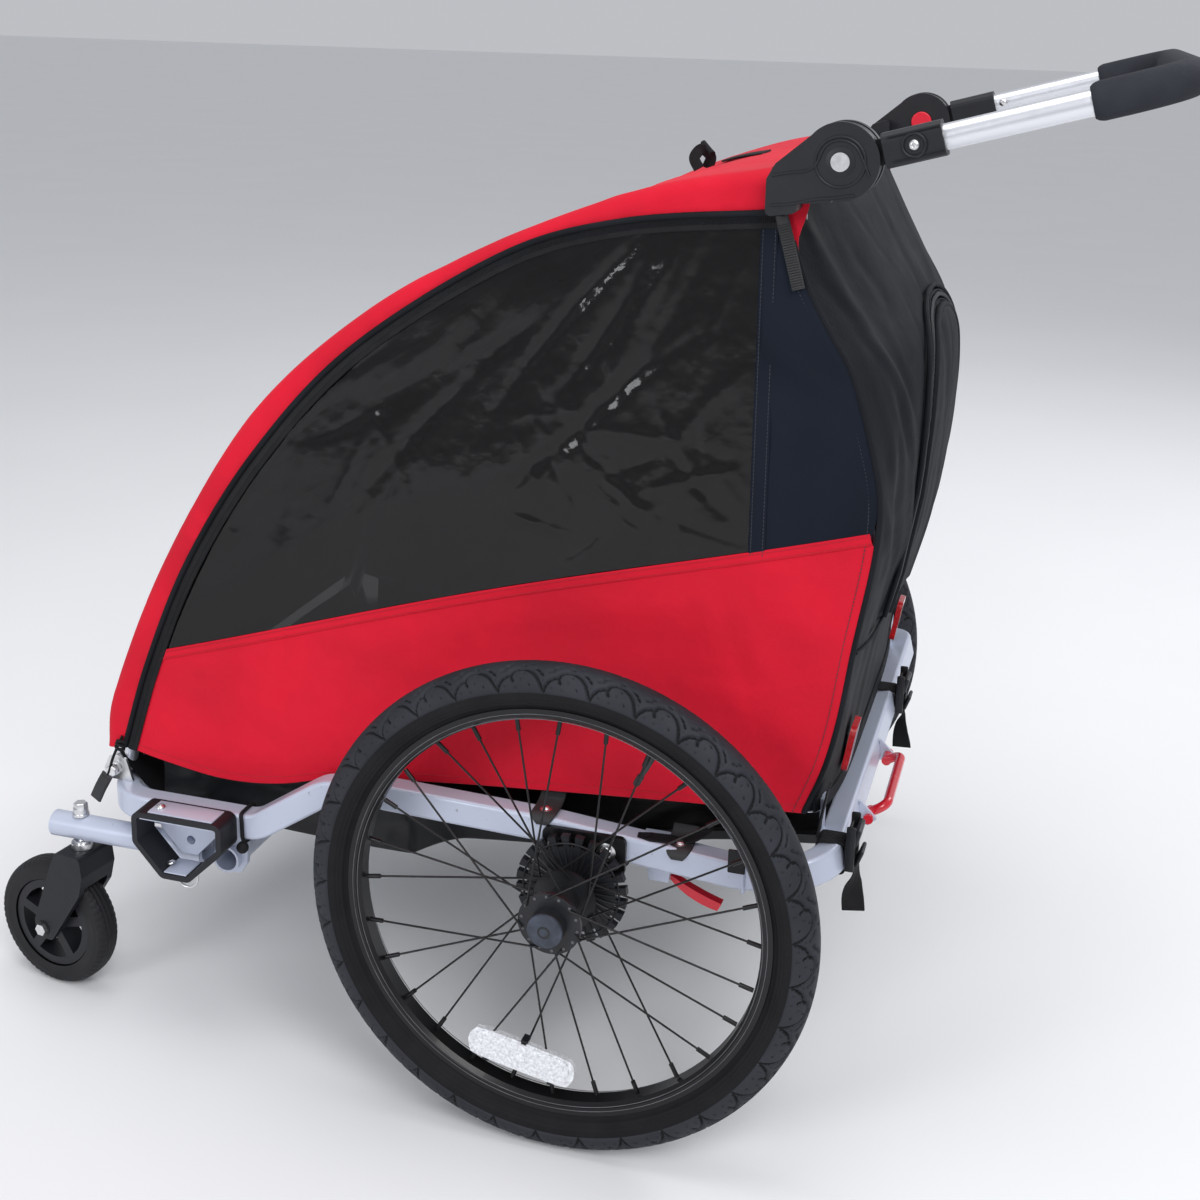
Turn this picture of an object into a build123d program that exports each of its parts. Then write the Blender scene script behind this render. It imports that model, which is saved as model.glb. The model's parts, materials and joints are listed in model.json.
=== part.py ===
"""Two-wheel child trailer in its push-chair layout: frame, wheels, casters, cabin and handle.

Millimetres. +X is forward, +Y is the rider's left, +Z is up, the ground is z = 0.
Stations along X are measured from the wheel axle and moved to the row frame by axle_x.
"""
from build123d import *
import os
from math import cos, sin, tan, radians, degrees, pi, atan2, hypot

os.makedirs("parts", exist_ok=True)

SIDES = (("left", 1), ("right", -1))

# ---------------------------------------------------------------- driving dimensions
axle_x = -91.2              # wheel axle, so that the origin is under the middle of the length
axle_z = 250                # axle height, which is also the tyre's radius
track = 785                 # between the middles of the two tyres

# wheels, 20 inch
tyre_section = 22
tyre_wall = 3.5
rim_edge = 209
rim_floor = 203.4
rim_bottom = 197
rim_half_width = 13
bead_half_width = 9.5
spoke_count = 28
spoke_radius = 1.0
nipple_radius = 2.2
nipple_length = 14
flange_radius = 31
flange_offset = 22
flange_thickness = 4
hub_radius = 17
hub_half_length = 36
axle_radius = 6
running_gap = 0.05
disc_radius = 56
disc_thickness = 7
disc_gap = 42.5
disc_slots = 24

# base frame, rectangular tube
rail_y = 320
tube_width = 25
tube_height = 28
tube_wall = 2
front_rail_z = 244
middle_rail_z = 303
rear_rail_z = 282
rear_tube_x = -240
rear_tube_z = 298
front_tube_x = 525
corner_radius = 48

# caster booms and casters
boom_y = 306
boom_z = 196
boom_radius = 14
boom_wall = 2
boom_front_x = 604
boom_rear_x = 420
cross_tube_x = 401
cross_tube_z = 185
cross_tube_radius = 15
cross_tube_half = 302
swivel_x = 574
caster_radius = 74
caster_half_width = 15
caster_trail = 40
caster_turn = -9            # the casters stand a little turned
fork_top_z = 172

# cabin frame
pivot_x, pivot_z = 529, 268
hoop_y = 285
hoop_radius = 12.5
hoop_wall = 2
side_y = 300
upright_y = 262
upright_radius = 9
upright_pivot = (-168, 850)
upright_foot = (-215, 330)

# handle
hinge_x, hinge_z = -215, 955
hinge_y = 313.5
ear_radius = 33
rotor_half = 8
ear_inner = 8.3
ear_outer = 18
arm_slope = 15.7
arm_length = 284
arm_radius = 11
grip_start = 205
grip_radius = 16
handle_bend = 62
button_radius = 11.8
button_travel = 4

# soft parts
sheet = 3                    # thickness that stands for the cloth
floor_thickness = 4

# ---------------------------------------------------------------- smaller parts and outlines, mm
rail_line = [(-200, 288), (-160, rear_rail_z), (30, 298.5), (228, middle_rail_z + 1),
             (272, 296), (350, front_rail_z), (470, front_rail_z)]
swivel_radius = 5            # the bolt that each caster turns on
caster_axle_radius = 4
pin_x = 446                  # hitch pin through the boom
pin_radius = 3
tow_bore = 5                 # takes the tow arm's 10 mm pin
guard_depth = 34
guard_wall = 6
pivot_bolt = 4
pedal_x, pedal_z = -262, 290
pedal_rod = 5
pedal_near, pedal_far = 168, 40
pedal_reach = 18
pedal_lug_y = (pedal_near + 14, pedal_far - 14)
lever_x, lever_z = -76, 257
lever_bore = 3.5
hoop_line = [(pivot_x, pivot_z + 4), (502, 372), (426, 536), (304, 694), (138, 820),
             (-40, 897), (-178, 925)]
rivet_radius = 4
arm_x, arm_z = -cos(radians(arm_slope)), sin(radians(arm_slope))
roof_line = [(543, 292), (530, 359), (463, 513), (360, 676), (235, 789), (99, 866), (-40, 921),
             (-150, 945)]
zip_line = [(514, 300), (480, 403), (428, 520), (350, 640), (246, 752), (95, 852), (-18, 890),
            (-146, 905)]
rear_line = [(-176, 936), (-205, 885), (-252, 790), (-280, 700), (-280, 600), (-262, 515),
             (-243, 425), (-234, 370), (-231, 316)]
seam_front = (478, 404)
seam_rear = (-258, 617)
quarter_x = -150


def save(piece, node):
    """Names a finished piece and writes it."""
    piece.part.label = node
    export_step(piece.part, f"parts/{node}.step")


def side_plane(y):
    """Vertical plane at one y, with X to the right, Z up and its origin under the wheel axle."""
    return Plane(origin=(axle_x, y, 0), x_dir=(1, 0, 0), z_dir=(0, -1, 0))


def radial_plane(x, y, z):
    """Plane through a point that holds Y and Z, for profiles turned about a line along Y."""
    return Plane(origin=(axle_x + x, y, z), x_dir=(0, 1, 0), z_dir=(1, 0, 0))


def line_along_y(x, z):
    return Axis((axle_x + x, 0, z), (0, 1, 0))


def bend_radii(points, share=0.45):
    """Radii that let each bend of a polyline use the given share of its shorter run."""
    radii = []
    for before, here, after in zip(points, points[1:], points[2:]):
        into = (here[0] - before[0], here[1] - before[1])
        out = (after[0] - here[0], after[1] - here[1])
        turn = abs(atan2(into[0] * out[1] - into[1] * out[0], into[0] * out[0] + into[1] * out[1]))
        radii.append(share * min(hypot(*into), hypot(*out)) / tan(turn / 2))
    return radii


def inset(points, distance):
    """The same line moved to its right-hand side, seen from its first point to its last."""
    moved = []
    for i, (x, z) in enumerate(points):
        before, after = points[max(i - 1, 0)], points[min(i + 1, len(points) - 1)]
        length = hypot(after[0] - before[0], after[1] - before[1])
        step_x, step_z = (after[0] - before[0]) / length, (after[1] - before[1]) / length
        moved.append((x - step_z * distance, z + step_x * distance))
    return moved


# ---------------------------------------------------------------- base frame


def make_rail(name, sign):
    with BuildPart() as rail:
        with BuildLine(side_plane(sign * rail_y)) as run:
            FilletPolyline(*rail_line, radius=[120, 300, 90, 40, 40])
        with BuildSketch(Plane(origin=run.line @ 0, x_dir=(0, 1, 0), z_dir=run.line % 0)):
            RectangleRounded(tube_width, tube_height, 4)
            RectangleRounded(tube_width - 2 * tube_wall, tube_height - 2 * tube_wall, 2,
                             mode=Mode.SUBTRACT)
        sweep()
    save(rail, f"rail_{name}")


def make_front_tube():
    with BuildPart() as front_tube:
        with BuildLine(Plane.XY.offset(front_rail_z)) as run:
            start = axle_x + 470
            front = axle_x + front_tube_x
            FilletPolyline((start, rail_y), (front, rail_y), (front, -rail_y), (start, -rail_y),
                           radius=corner_radius)
        with BuildSketch(Plane(origin=run.line @ 0, x_dir=(0, 1, 0), z_dir=run.line % 0)):
            RectangleRounded(tube_width, tube_height, 4)
            RectangleRounded(tube_width - 2 * tube_wall, tube_height - 2 * tube_wall, 2,
                             mode=Mode.SUBTRACT)
        sweep()
    save(front_tube, "front_tube")


def make_rear_tube():
    """The rear tube carries the rails' rear corners, the pedal's lugs and the uprights' catches."""
    rise = (rear_tube_z - 288) / (-rear_tube_x - 200)
    tilt = Plane(origin=(axle_x - 200, 0, 288), x_dir=(-1, 0, rise), z_dir=(rise, 0, 1))
    reach = hypot(-rear_tube_x - 200, rear_tube_z - 288)
    with BuildPart() as rear_tube:
        with BuildLine(tilt) as run:
            FilletPolyline((3, -rail_y), (reach, -rail_y), (reach, rail_y), (3, rail_y), radius=36)
        with BuildSketch(Plane(origin=run.line @ 0, x_dir=(0, 1, 0), z_dir=run.line % 0)):
            RectangleRounded(tube_width, tube_height, 4)
            RectangleRounded(tube_width - 2 * tube_wall, tube_height - 2 * tube_wall, 2,
                             mode=Mode.SUBTRACT)
        sweep()
        for y in pedal_lug_y:
            with BuildSketch(side_plane(y)):
                with BuildLine():
                    Polyline((rear_tube_x - 12, 284), (rear_tube_x - 12, 308), (pedal_x, 298),
                             (pedal_x - 8, 290), (pedal_x, 282), (rear_tube_x - 12, 284))
                make_face()
                with Locations((pedal_x, pedal_z)):
                    Circle(pedal_rod + running_gap, mode=Mode.SUBTRACT)
            extrude(amount=2, both=True)
        for sign in (1, -1):
            with BuildSketch(side_plane(sign * upright_y)):
                with Locations((rear_tube_x + 14, 322)):
                    Rectangle(3, 48)
            extrude(amount=9, both=True)
    save(rear_tube, "rear_tube")


def make_cross_tubes():
    """The low tube that the casters' receivers hang on, and the bar under the seat's front."""
    low_tube = (cross_tube_x, cross_tube_z, cross_tube_radius, 2.5, cross_tube_half)
    seat_bar = (205, 297, 10, 2, rail_y - tube_width / 2 - 0.2)
    with BuildPart() as cross_tubes:
        for x, z, radius, wall, half in (low_tube, seat_bar):
            with BuildSketch(side_plane(0)):
                with Locations((x, z)):
                    Circle(radius)
                    Circle(radius - wall, mode=Mode.SUBTRACT)
            extrude(amount=half, both=True)
    save(cross_tubes, "cross_tubes")


def make_boom(name, sign):
    with BuildPart() as boom:
        with BuildSketch(Plane(origin=(axle_x + boom_rear_x, sign * boom_y, boom_z),
                               x_dir=(0, 1, 0), z_dir=(1, 0, 0))):
            Circle(boom_radius)
            Circle(boom_radius - boom_wall, mode=Mode.SUBTRACT)
        extrude(amount=boom_front_x - boom_rear_x)
        with BuildSketch(Plane.XY.offset(boom_z)):
            with Locations((axle_x + swivel_x, sign * boom_y)):
                Circle(swivel_radius)
            with Locations((axle_x + pin_x, sign * boom_y)):
                Circle(pin_radius + running_gap)
        extrude(amount=boom_radius + 2, both=True, mode=Mode.SUBTRACT)
    save(boom, f"boom_{name}")


def make_receiver(name, sign):
    """Welded bracket: web under the rail, sleeve for the boom and a face plate for the tow arm."""
    with BuildPart() as receiver:
        with BuildSketch(side_plane(sign * (boom_y - 15))):
            with BuildLine():
                Polyline((378, 229.6), (470, 229.6), (470, 190), (425, 182), (405, 166),
                         (388, 168), (380, 180), (378, 229.6))
            make_face()
            with Locations((cross_tube_x, cross_tube_z)):
                Circle(cross_tube_radius + running_gap, mode=Mode.SUBTRACT)
        extrude(amount=3, both=True)
        with BuildSketch(Plane(origin=(axle_x + 421, sign * boom_y, boom_z),
                               x_dir=(0, 1, 0), z_dir=(1, 0, 0))):
            Circle(boom_radius + 3.5)
        extrude(amount=49)
        with BuildSketch(side_plane(sign * (rail_y + tube_width / 2 + 2.3))):
            with BuildLine():
                Polyline((386, 254), (456, 254), (456, 232), (432, 206), (414, 206), (386, 236),
                         (386, 254))
            make_face()
            with Locations((421, 222)):
                Circle(tow_bore, mode=Mode.SUBTRACT)
        extrude(amount=2, both=True)
        with BuildSketch(side_plane(sign * (boom_y + 12.5))):
            with Locations((428, 217)):
                Rectangle(26, 22)
        extrude(amount=14.5, both=True)
        with BuildSketch(Plane(origin=(axle_x + 400, sign * boom_y, boom_z),
                               x_dir=(0, 1, 0), z_dir=(1, 0, 0))):
            Circle(boom_radius + running_gap)
        extrude(amount=90, mode=Mode.SUBTRACT)
        with BuildSketch(side_plane(sign * rail_y)):
            with Locations((cross_tube_x, cross_tube_z)):
                Circle(cross_tube_radius + running_gap)
        extrude(amount=40, both=True, mode=Mode.SUBTRACT)
        with BuildSketch(Plane.XY.offset(boom_z - 40)):
            with Locations((axle_x + pin_x, sign * boom_y)):
                Circle(pin_radius + running_gap)
        extrude(amount=66, mode=Mode.SUBTRACT)
        with BuildSketch(side_plane(sign * (rail_y + tube_width / 2 + 6))):
            with Locations((421, 222)):
                Circle(tow_bore)
        extrude(amount=12, both=True, mode=Mode.SUBTRACT)
    save(receiver, f"receiver_{name}")


def make_receiver_guards():
    """Black D-shaped plastic bands round the tow arm's face plates."""
    with BuildPart() as receiver_guards:
        for sign in (1, -1):
            middle = rail_y + tube_width / 2 + guard_depth / 2 + 0.4
            with BuildSketch(side_plane(sign * middle)):
                with BuildLine():
                    FilletPolyline((369, 261), (472, 261), (472, 226), (440, 190), (408, 190),
                                   (369, 228), close=True, radius=9)
                make_face()
                offset(amount=-guard_wall, mode=Mode.SUBTRACT)
            extrude(amount=guard_depth / 2, both=True)
    save(receiver_guards, "receiver_guards")


def make_axle_brackets():
    """Two plates on each rail that carry the stub axle."""
    with BuildPart() as axle_brackets:
        for sign in (1, -1):
            for offset_y, low_front in ((tube_width / 2 + 2.6, 34), (-tube_width / 2 - 2.6, 30)):
                with BuildSketch(side_plane(sign * (rail_y + offset_y))):
                    with BuildLine():
                        FilletPolyline((-50, 306), (low_front, 306), (low_front, 270), (20, 226),
                                       (-20, 226), (-50, 270), close=True, radius=7)
                    make_face()
                    with Locations((0, axle_z)):
                        Circle(axle_radius + running_gap, mode=Mode.SUBTRACT)
                extrude(amount=2.5, both=True)
    save(axle_brackets, "axle_brackets")


def make_wheel_axles():
    """Stub axles, with a nut at the inner end."""
    inner, outer = 298, track / 2 + 31
    with BuildPart() as wheel_axles:
        for sign in (1, -1):
            with BuildSketch(side_plane(sign * (inner + outer) / 2)):
                with Locations((0, axle_z)):
                    Circle(axle_radius)
            extrude(amount=(outer - inner) / 2, both=True)
            with BuildSketch(side_plane(sign * 298)):
                with Locations((0, axle_z)):
                    RegularPolygon(10, 6)
            extrude(amount=4, both=True)
    save(wheel_axles, "wheel_axles")


def make_hoop_ears():
    """Clevis brackets on the front corners that hold the feet of the cabin hoops."""
    with BuildPart() as hoop_ears:
        for sign in (1, -1):
            for offset_y in (-15.5, 15.5):
                with BuildSketch(side_plane(sign * (hoop_y + offset_y))):
                    with BuildLine():
                        Polyline((510, 258.2), (541, 258.2), (544, 270), (538, 283), (528, 287),
                                 (517, 283), (510, 258.2))
                    make_face()
                    with Locations((pivot_x, pivot_z + 4)):
                        Circle(pivot_bolt + running_gap, mode=Mode.SUBTRACT)
                extrude(amount=1.5, both=True)
    save(hoop_ears, "hoop_ears")


def make_front_pivot_bolts():
    with BuildPart() as front_pivot_bolts:
        for sign in (1, -1):
            with BuildSketch(side_plane(sign * hoop_y)):
                with Locations((pivot_x, pivot_z + 4)):
                    Circle(pivot_bolt)
            extrude(amount=21, both=True)
            for head in (-20, 20):
                with BuildSketch(side_plane(sign * hoop_y + head)):
                    with Locations((pivot_x, pivot_z + 4)):
                        RegularPolygon(7, 6)
                extrude(amount=2.5, both=True)
    save(front_pivot_bolts, "front_pivot_bolts")


# ---------------------------------------------------------------- wheels
def make_wheel(name, sign):
    y = sign * track / 2
    middle = radial_plane(0, y, axle_z)
    spin = line_along_y(0, axle_z)
    section_r = axle_z - tyre_section

    with BuildPart() as tyre:
        with BuildSketch(middle):
            with Locations((0, section_r)):
                Circle(tyre_section)
            with Locations((0, rim_edge + 0.4 - 20)):
                Rectangle(60, 40, mode=Mode.SUBTRACT)
            with Locations((0, (rim_floor + 0.2 + rim_edge + 4) / 2)):
                Rectangle(2 * bead_half_width, rim_edge + 3.8 - rim_floor)
            with Locations((0, section_r)):
                Circle(tyre_section - tyre_wall, mode=Mode.SUBTRACT)
            with Locations((0, rim_edge)):
                Rectangle(2 * bead_half_width - 6, 20, mode=Mode.SUBTRACT)
        revolve(axis=spin)
    save(tyre, f"tyre_{name}")

    with BuildPart() as rim:
        with BuildSketch(middle):
            with BuildLine():
                w = rim_half_width
                Polyline((-w, rim_edge), (-w + 2, rim_edge), (-w + 2, rim_floor),
                         (w - 2, rim_floor), (w - 2, rim_edge), (w, rim_edge), (w, 201),
                         (8, rim_bottom), (-8, rim_bottom), (-w, 201), (-w, rim_edge))
            make_face()
        revolve(axis=spin)
    save(rim, f"rim_{name}")

    with BuildPart() as hub:
        with BuildSketch(middle):
            with BuildLine():
                f, t = flange_offset, flange_thickness / 2
                inner, outer = -sign * (disc_gap - 0.1), sign * hub_half_length
                low, high = min(inner, outer), max(inner, outer)
                Polyline((low, axle_radius + running_gap), (low, hub_radius),
                         (-f - t, hub_radius), (-f - t, flange_radius), (-f + t, flange_radius),
                         (-f + t, hub_radius - 2), (f - t, hub_radius - 2),
                         (f - t, flange_radius), (f + t, flange_radius), (f + t, hub_radius),
                         (high, hub_radius), (high, axle_radius + running_gap),
                         (low, axle_radius + running_gap))
            make_face()
        revolve(axis=spin)
        with BuildSketch(radial_plane(0, y + sign * hub_half_length, axle_z)):
            with BuildLine():
                Polyline((-sign, 0), (-sign, hub_radius), (sign * 1.5, hub_radius),
                         (sign * 3.5, 12), (sign * 4.5, 6), (sign * 4.5, 0), (-sign, 0))
            make_face()
        revolve(axis=spin)
    save(hub, f"hub_{name}")

    with BuildPart() as brake_disc:
        with BuildSketch(side_plane(y - sign * (disc_gap + disc_thickness / 2))):
            with Locations((0, axle_z)):
                Circle(disc_radius)
                Circle(axle_radius + 2, mode=Mode.SUBTRACT)
                with PolarLocations(disc_radius - 4, disc_slots):
                    Rectangle(14, 6, mode=Mode.SUBTRACT)
        extrude(amount=disc_thickness / 2, both=True)
    save(brake_disc, f"brake_disc_{name}")

    with BuildPart() as spokes:
        for i in range(spoke_count):
            rim_angle = 2 * pi * i / spoke_count
            flange_side = 1 if i % 2 else -1
            lead = 1 if (i // 2) % 2 else -1
            flange_angle = rim_angle - lead * radians(55)
            face = flange_side * (flange_offset + lead * (flange_thickness / 2 + 2.1))
            foot = Vector(axle_x + 27 * cos(flange_angle), y + face, axle_z + 27 * sin(flange_angle))
            end_r = rim_bottom - 1.2
            tip = Vector(axle_x + end_r * cos(rim_angle), y + flange_side * 2,
                         axle_z + end_r * sin(rim_angle))
            run = tip - foot
            with BuildSketch(Plane(origin=foot, z_dir=run)):
                Circle(spoke_radius)
            extrude(amount=run.length)
            with BuildSketch(Plane(origin=tip, z_dir=run * -1)):
                Circle(nipple_radius)
            extrude(amount=nipple_length)
    save(spokes, f"spokes_{name}")


# ---------------------------------------------------------------- casters


def caster_plane(sign):
    """Frame of one caster: origin on the ground under its swivel, X along its fork."""
    return Plane(origin=(axle_x + swivel_x, sign * boom_y, 0)).rotated((0, 0, caster_turn))


def make_swivel_bolts():
    """Bolt, washers and nut that hold each fork under its boom."""
    stack = ((swivel_radius, 158, 217), (9, 210.5, 213), (8, 213, 219), (9, 178.5, 181.5),
             (12, fork_top_z + 0.3, 178.5))
    with BuildPart() as swivel_bolts:
        for sign in (1, -1):
            for radius, low, high in stack:
                with BuildSketch(Plane.XY.offset(low)):
                    with Locations((axle_x + swivel_x, sign * boom_y)):
                        Circle(radius)
                extrude(amount=high - low)
            with BuildSketch(Plane.XY.offset(152)):
                with Locations((axle_x + swivel_x, sign * boom_y)):
                    RegularPolygon(8, 6)
            extrude(amount=6)
    save(swivel_bolts, "swivel_bolts")


def make_caster(name, sign):
    ground = caster_plane(sign)
    origin = ground.origin
    forward, across = ground.x_dir, ground.y_dir
    centre = origin + forward * caster_trail + Vector(0, 0, caster_radius)
    upright = Plane(origin=origin, x_dir=forward, z_dir=across * -1)
    profile = Plane(origin=centre, x_dir=across, z_dir=forward)
    spin = Axis(centre, across)

    with BuildPart() as fork:
        with BuildSketch(upright):
            with BuildLine():
                Polyline((-20, fork_top_z - 22), (-17, fork_top_z), (17, fork_top_z),
                         (24, fork_top_z - 16), (caster_trail + 12, caster_radius + 8),
                         (caster_trail + 10, caster_radius - 12),
                         (caster_trail - 12, caster_radius - 12), (-14, fork_top_z - 46),
                         (-20, fork_top_z - 22))
            make_face()
            fillet(vertices(), 5)
        extrude(amount=26, both=True)
        with BuildSketch(upright):
            with Locations((caster_trail, caster_radius)):
                Circle(caster_radius + 7)
        extrude(amount=caster_half_width + 3, both=True, mode=Mode.SUBTRACT)
        with BuildSketch(upright):
            with Locations((caster_trail, caster_radius)):
                Circle(caster_axle_radius + running_gap)
        extrude(amount=40, both=True, mode=Mode.SUBTRACT)
        with BuildSketch(Plane(origin=origin + Vector(0, 0, fork_top_z))):
            Circle(swivel_radius + running_gap)
        extrude(amount=-60, mode=Mode.SUBTRACT)
        with BuildSketch(Plane(origin=origin + Vector(0, 0, 159))):
            Circle(11)
        extrude(amount=-40, mode=Mode.SUBTRACT)
    save(fork, f"caster_fork_{name}")

    with BuildPart() as caster_tyre:
        with BuildSketch(profile):
            with BuildLine():
                w = caster_half_width
                Line((-w + 2, 51), (w - 2, 51))
                Line((w - 2, 51), (w, 58))
                ThreePointArc((w, 58), (0, caster_radius), (-w, 58))
                Line((-w, 58), (-w + 2, 51))
            make_face()
        revolve(axis=spin)
    save(caster_tyre, f"caster_tyre_{name}")

    with BuildPart() as caster_hub:
        with BuildSketch(upright):
            with Locations((caster_trail, caster_radius)):
                Circle(50.8)
                Circle(42, mode=Mode.SUBTRACT)
                Circle(15)
                with PolarLocations(28, 5, start_angle=20):
                    Rectangle(32, 11)
                Circle(caster_axle_radius + running_gap, mode=Mode.SUBTRACT)
        extrude(amount=12, both=True)
    save(caster_hub, f"caster_hub_{name}")

    with BuildPart() as caster_axle:
        with BuildSketch(upright):
            with Locations((caster_trail, caster_radius)):
                Circle(caster_axle_radius)
        extrude(amount=29, both=True)
        for end in (-28.8, 28.8):
            with BuildSketch(upright.offset(end)):
                with Locations((caster_trail, caster_radius)):
                    RegularPolygon(7, 6)
            extrude(amount=2.5, both=True)
    save(caster_axle, f"caster_axle_{name}")


# ---------------------------------------------------------------- hitch pins


def make_hitch_pin(name, sign):
    """Pin up through sleeve and boom, with a pull ring under its head."""
    with BuildPart() as hitch_pin:
        with BuildSketch(Plane.XY.offset(176)):
            with Locations((axle_x + pin_x, sign * boom_y)):
                Circle(pin_radius)
        extrude(amount=43)
        with BuildSketch(Plane.XY.offset(170)):
            with Locations((axle_x + pin_x, sign * boom_y)):
                Circle(6)
        extrude(amount=6)
        ring = Plane(origin=(axle_x + pin_x, sign * boom_y, 159), x_dir=(1, 0, 0),
                     z_dir=(0, 1, 0))
        with BuildSketch(Plane(origin=ring.origin + Vector(12.5, 0, 0), x_dir=(1, 0, 0),
                               z_dir=(0, 0, 1))):
            Circle(1.4)
        revolve(axis=Axis(ring.origin, (0, 1, 0)))
    save(hitch_pin, f"hitch_pin_{name}")


# ---------------------------------------------------------------- brake


def make_brake_pedal():
    """Bent red rod: its two ends turn in the rear tube's lugs, and a foot pushes the bow."""
    with BuildPart() as brake_pedal:
        for end in (pedal_near + 8, pedal_far - 8):
            with BuildSketch(side_plane(end)):
                with Locations((pedal_x, pedal_z)):
                    Circle(pedal_rod)
            extrude(amount=12, both=True)
        bow = Plane(origin=(axle_x + pedal_x, 0, pedal_z), x_dir=(-1, 0, 0.55),
                    z_dir=(0.55, 0, 1))
        with BuildLine(bow) as run:
            FilletPolyline((0, -pedal_near), (pedal_reach, -pedal_near),
                           (pedal_reach, -pedal_far), (0, -pedal_far), radius=12)
        with BuildSketch(Plane(origin=run.line @ 0, z_dir=run.line % 0)):
            Circle(pedal_rod)
        sweep()
    save(brake_pedal, "brake_pedal")


def make_lock_lever(name, sign):
    """Curved red lever under each rail, on its own pivot boss."""
    with BuildPart() as lock_lever:
        with BuildSketch(side_plane(sign * 292)):
            with BuildLine():
                ThreePointArc((-83, 252), (-106, 233), (-134, 223))
                Line((-134, 223), (-138, 231))
                ThreePointArc((-138, 231), (-106, 243), (-72, 262))
                Line((-72, 262), (-83, 252))
            make_face()
            with Locations((lever_x, lever_z)):
                Circle(8)
            with Locations((lever_x, lever_z)):
                Circle(lever_bore + running_gap, mode=Mode.SUBTRACT)
        extrude(amount=5, both=True)
    save(lock_lever, f"lock_lever_{name}")


def make_lever_pivots():
    """Studs that carry the lock levers, on plates welded inside the rails."""
    with BuildPart() as lever_pivots:
        for sign in (1, -1):
            with BuildSketch(side_plane(sign * 292)):
                with Locations((lever_x, lever_z)):
                    Circle(lever_bore)
            extrude(amount=8, both=True)
            with BuildSketch(side_plane(sign * 284.5)):
                with Locations((lever_x, lever_z)):
                    Circle(7)
            extrude(amount=2, both=True)
            with BuildSketch(side_plane(sign * 302)):
                with BuildLine():
                    Polyline((-92, 300), (-60, 300), (-66, 250), (-86, 250), (-92, 300))
                make_face()
            extrude(amount=4.5, both=True)
    save(lever_pivots, "lever_pivots")


# ---------------------------------------------------------------- cabin frame


def make_hoop(name, sign):
    """Bent tube from the front pivot to the handle hinge, with a lug for the rear upright."""
    with BuildPart() as hoop:
        with BuildLine(side_plane(sign * hoop_y)) as run:
            FilletPolyline(*hoop_line, radius=bend_radii(hoop_line))
        with BuildSketch(Plane(origin=run.line @ 0, z_dir=run.line % 0)):
            Circle(hoop_radius)
            Circle(hoop_radius - hoop_wall, mode=Mode.SUBTRACT)
        sweep()
        with BuildSketch(side_plane(sign * hoop_y)):
            with Locations((pivot_x, pivot_z + 4)):
                Circle(hoop_radius + 0.6)
        extrude(amount=hoop_radius, both=True)
        with BuildSketch(side_plane(sign * (upright_y + 11))):
            with BuildLine():
                Polyline((-186, 850), (-150, 850), (-140, 905), (-150, 919), (-178, 919),
                         (-186, 850))
            make_face()
            with Locations(upright_pivot):
                Circle(16)
                Circle(rivet_radius + running_gap, mode=Mode.SUBTRACT)
        extrude(amount=1.5, both=True)
        with BuildSketch(side_plane(sign * hoop_y)):
            with Locations((pivot_x, pivot_z + 4)):
                Circle(pivot_bolt + running_gap)
        extrude(amount=30, both=True, mode=Mode.SUBTRACT)
    save(hoop, f"hoop_{name}")


def make_roof_tubes():
    """Three spreader tubes between the hoops."""
    reach = hoop_y - hoop_radius - 0.2
    with BuildPart() as roof_tubes:
        for x, z in ((-110, 911.5), (132, 818), (424, 532)):
            with BuildSketch(side_plane(0)):
                with Locations((x, z)):
                    Circle(8)
                    Circle(6.5, mode=Mode.SUBTRACT)
            extrude(amount=reach, both=True)
    save(roof_tubes, "roof_tubes")


def make_rear_upright():
    """U-shaped tube that props the hoops: two legs joined by a bar across the top."""
    pivot = Vector(axle_x + upright_pivot[0], 0, upright_pivot[1])
    foot = Vector(axle_x + upright_foot[0], 0, upright_foot[1])
    leg = (pivot - foot)
    up = leg.normalized()
    plane = Plane(origin=foot, x_dir=up, z_dir=Vector(0, 1, 0).cross(up) * -1)
    top = leg.length + 46
    with BuildPart() as rear_upright:
        with BuildLine(plane) as run:
            FilletPolyline((0, -upright_y), (top, -upright_y), (top, upright_y), (0, upright_y),
                           radius=40)
        with BuildSketch(Plane(origin=run.line @ 0, z_dir=run.line % 0)):
            Circle(upright_radius)
            Circle(upright_radius - 1.5, mode=Mode.SUBTRACT)
        sweep()
        for sign in (1, -1):
            with BuildSketch(side_plane(sign * upright_y)):
                with Locations(upright_pivot):
                    Circle(rivet_radius + running_gap)
            extrude(amount=20, both=True, mode=Mode.SUBTRACT)
    save(rear_upright, "rear_upright")


def make_frame_rivets():
    """Pivot rivets of the uprights and of the handle hinges."""
    with BuildPart() as frame_rivets:
        for sign in (1, -1):
            with BuildSketch(side_plane(sign * upright_y)):
                with Locations(upright_pivot):
                    Circle(rivet_radius)
            extrude(amount=12.5, both=True)
            with BuildSketch(side_plane(sign * (upright_y - 11))):
                with Locations(upright_pivot):
                    Circle(7)
            extrude(amount=1.5, both=True)
            low, high = hinge_y - ear_outer + 6.2, hinge_y + ear_outer
            with BuildSketch(side_plane(sign * (low + high) / 2)):
                with Locations((hinge_x, hinge_z)):
                    Circle(5)
            extrude(amount=(high - low) / 2, both=True)
            with BuildSketch(side_plane(sign * (high + 1))):
                with Locations((hinge_x, hinge_z)):
                    Circle(8)
            extrude(amount=1, both=True)
    save(frame_rivets, "frame_rivets")


# ---------------------------------------------------------------- handle


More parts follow.
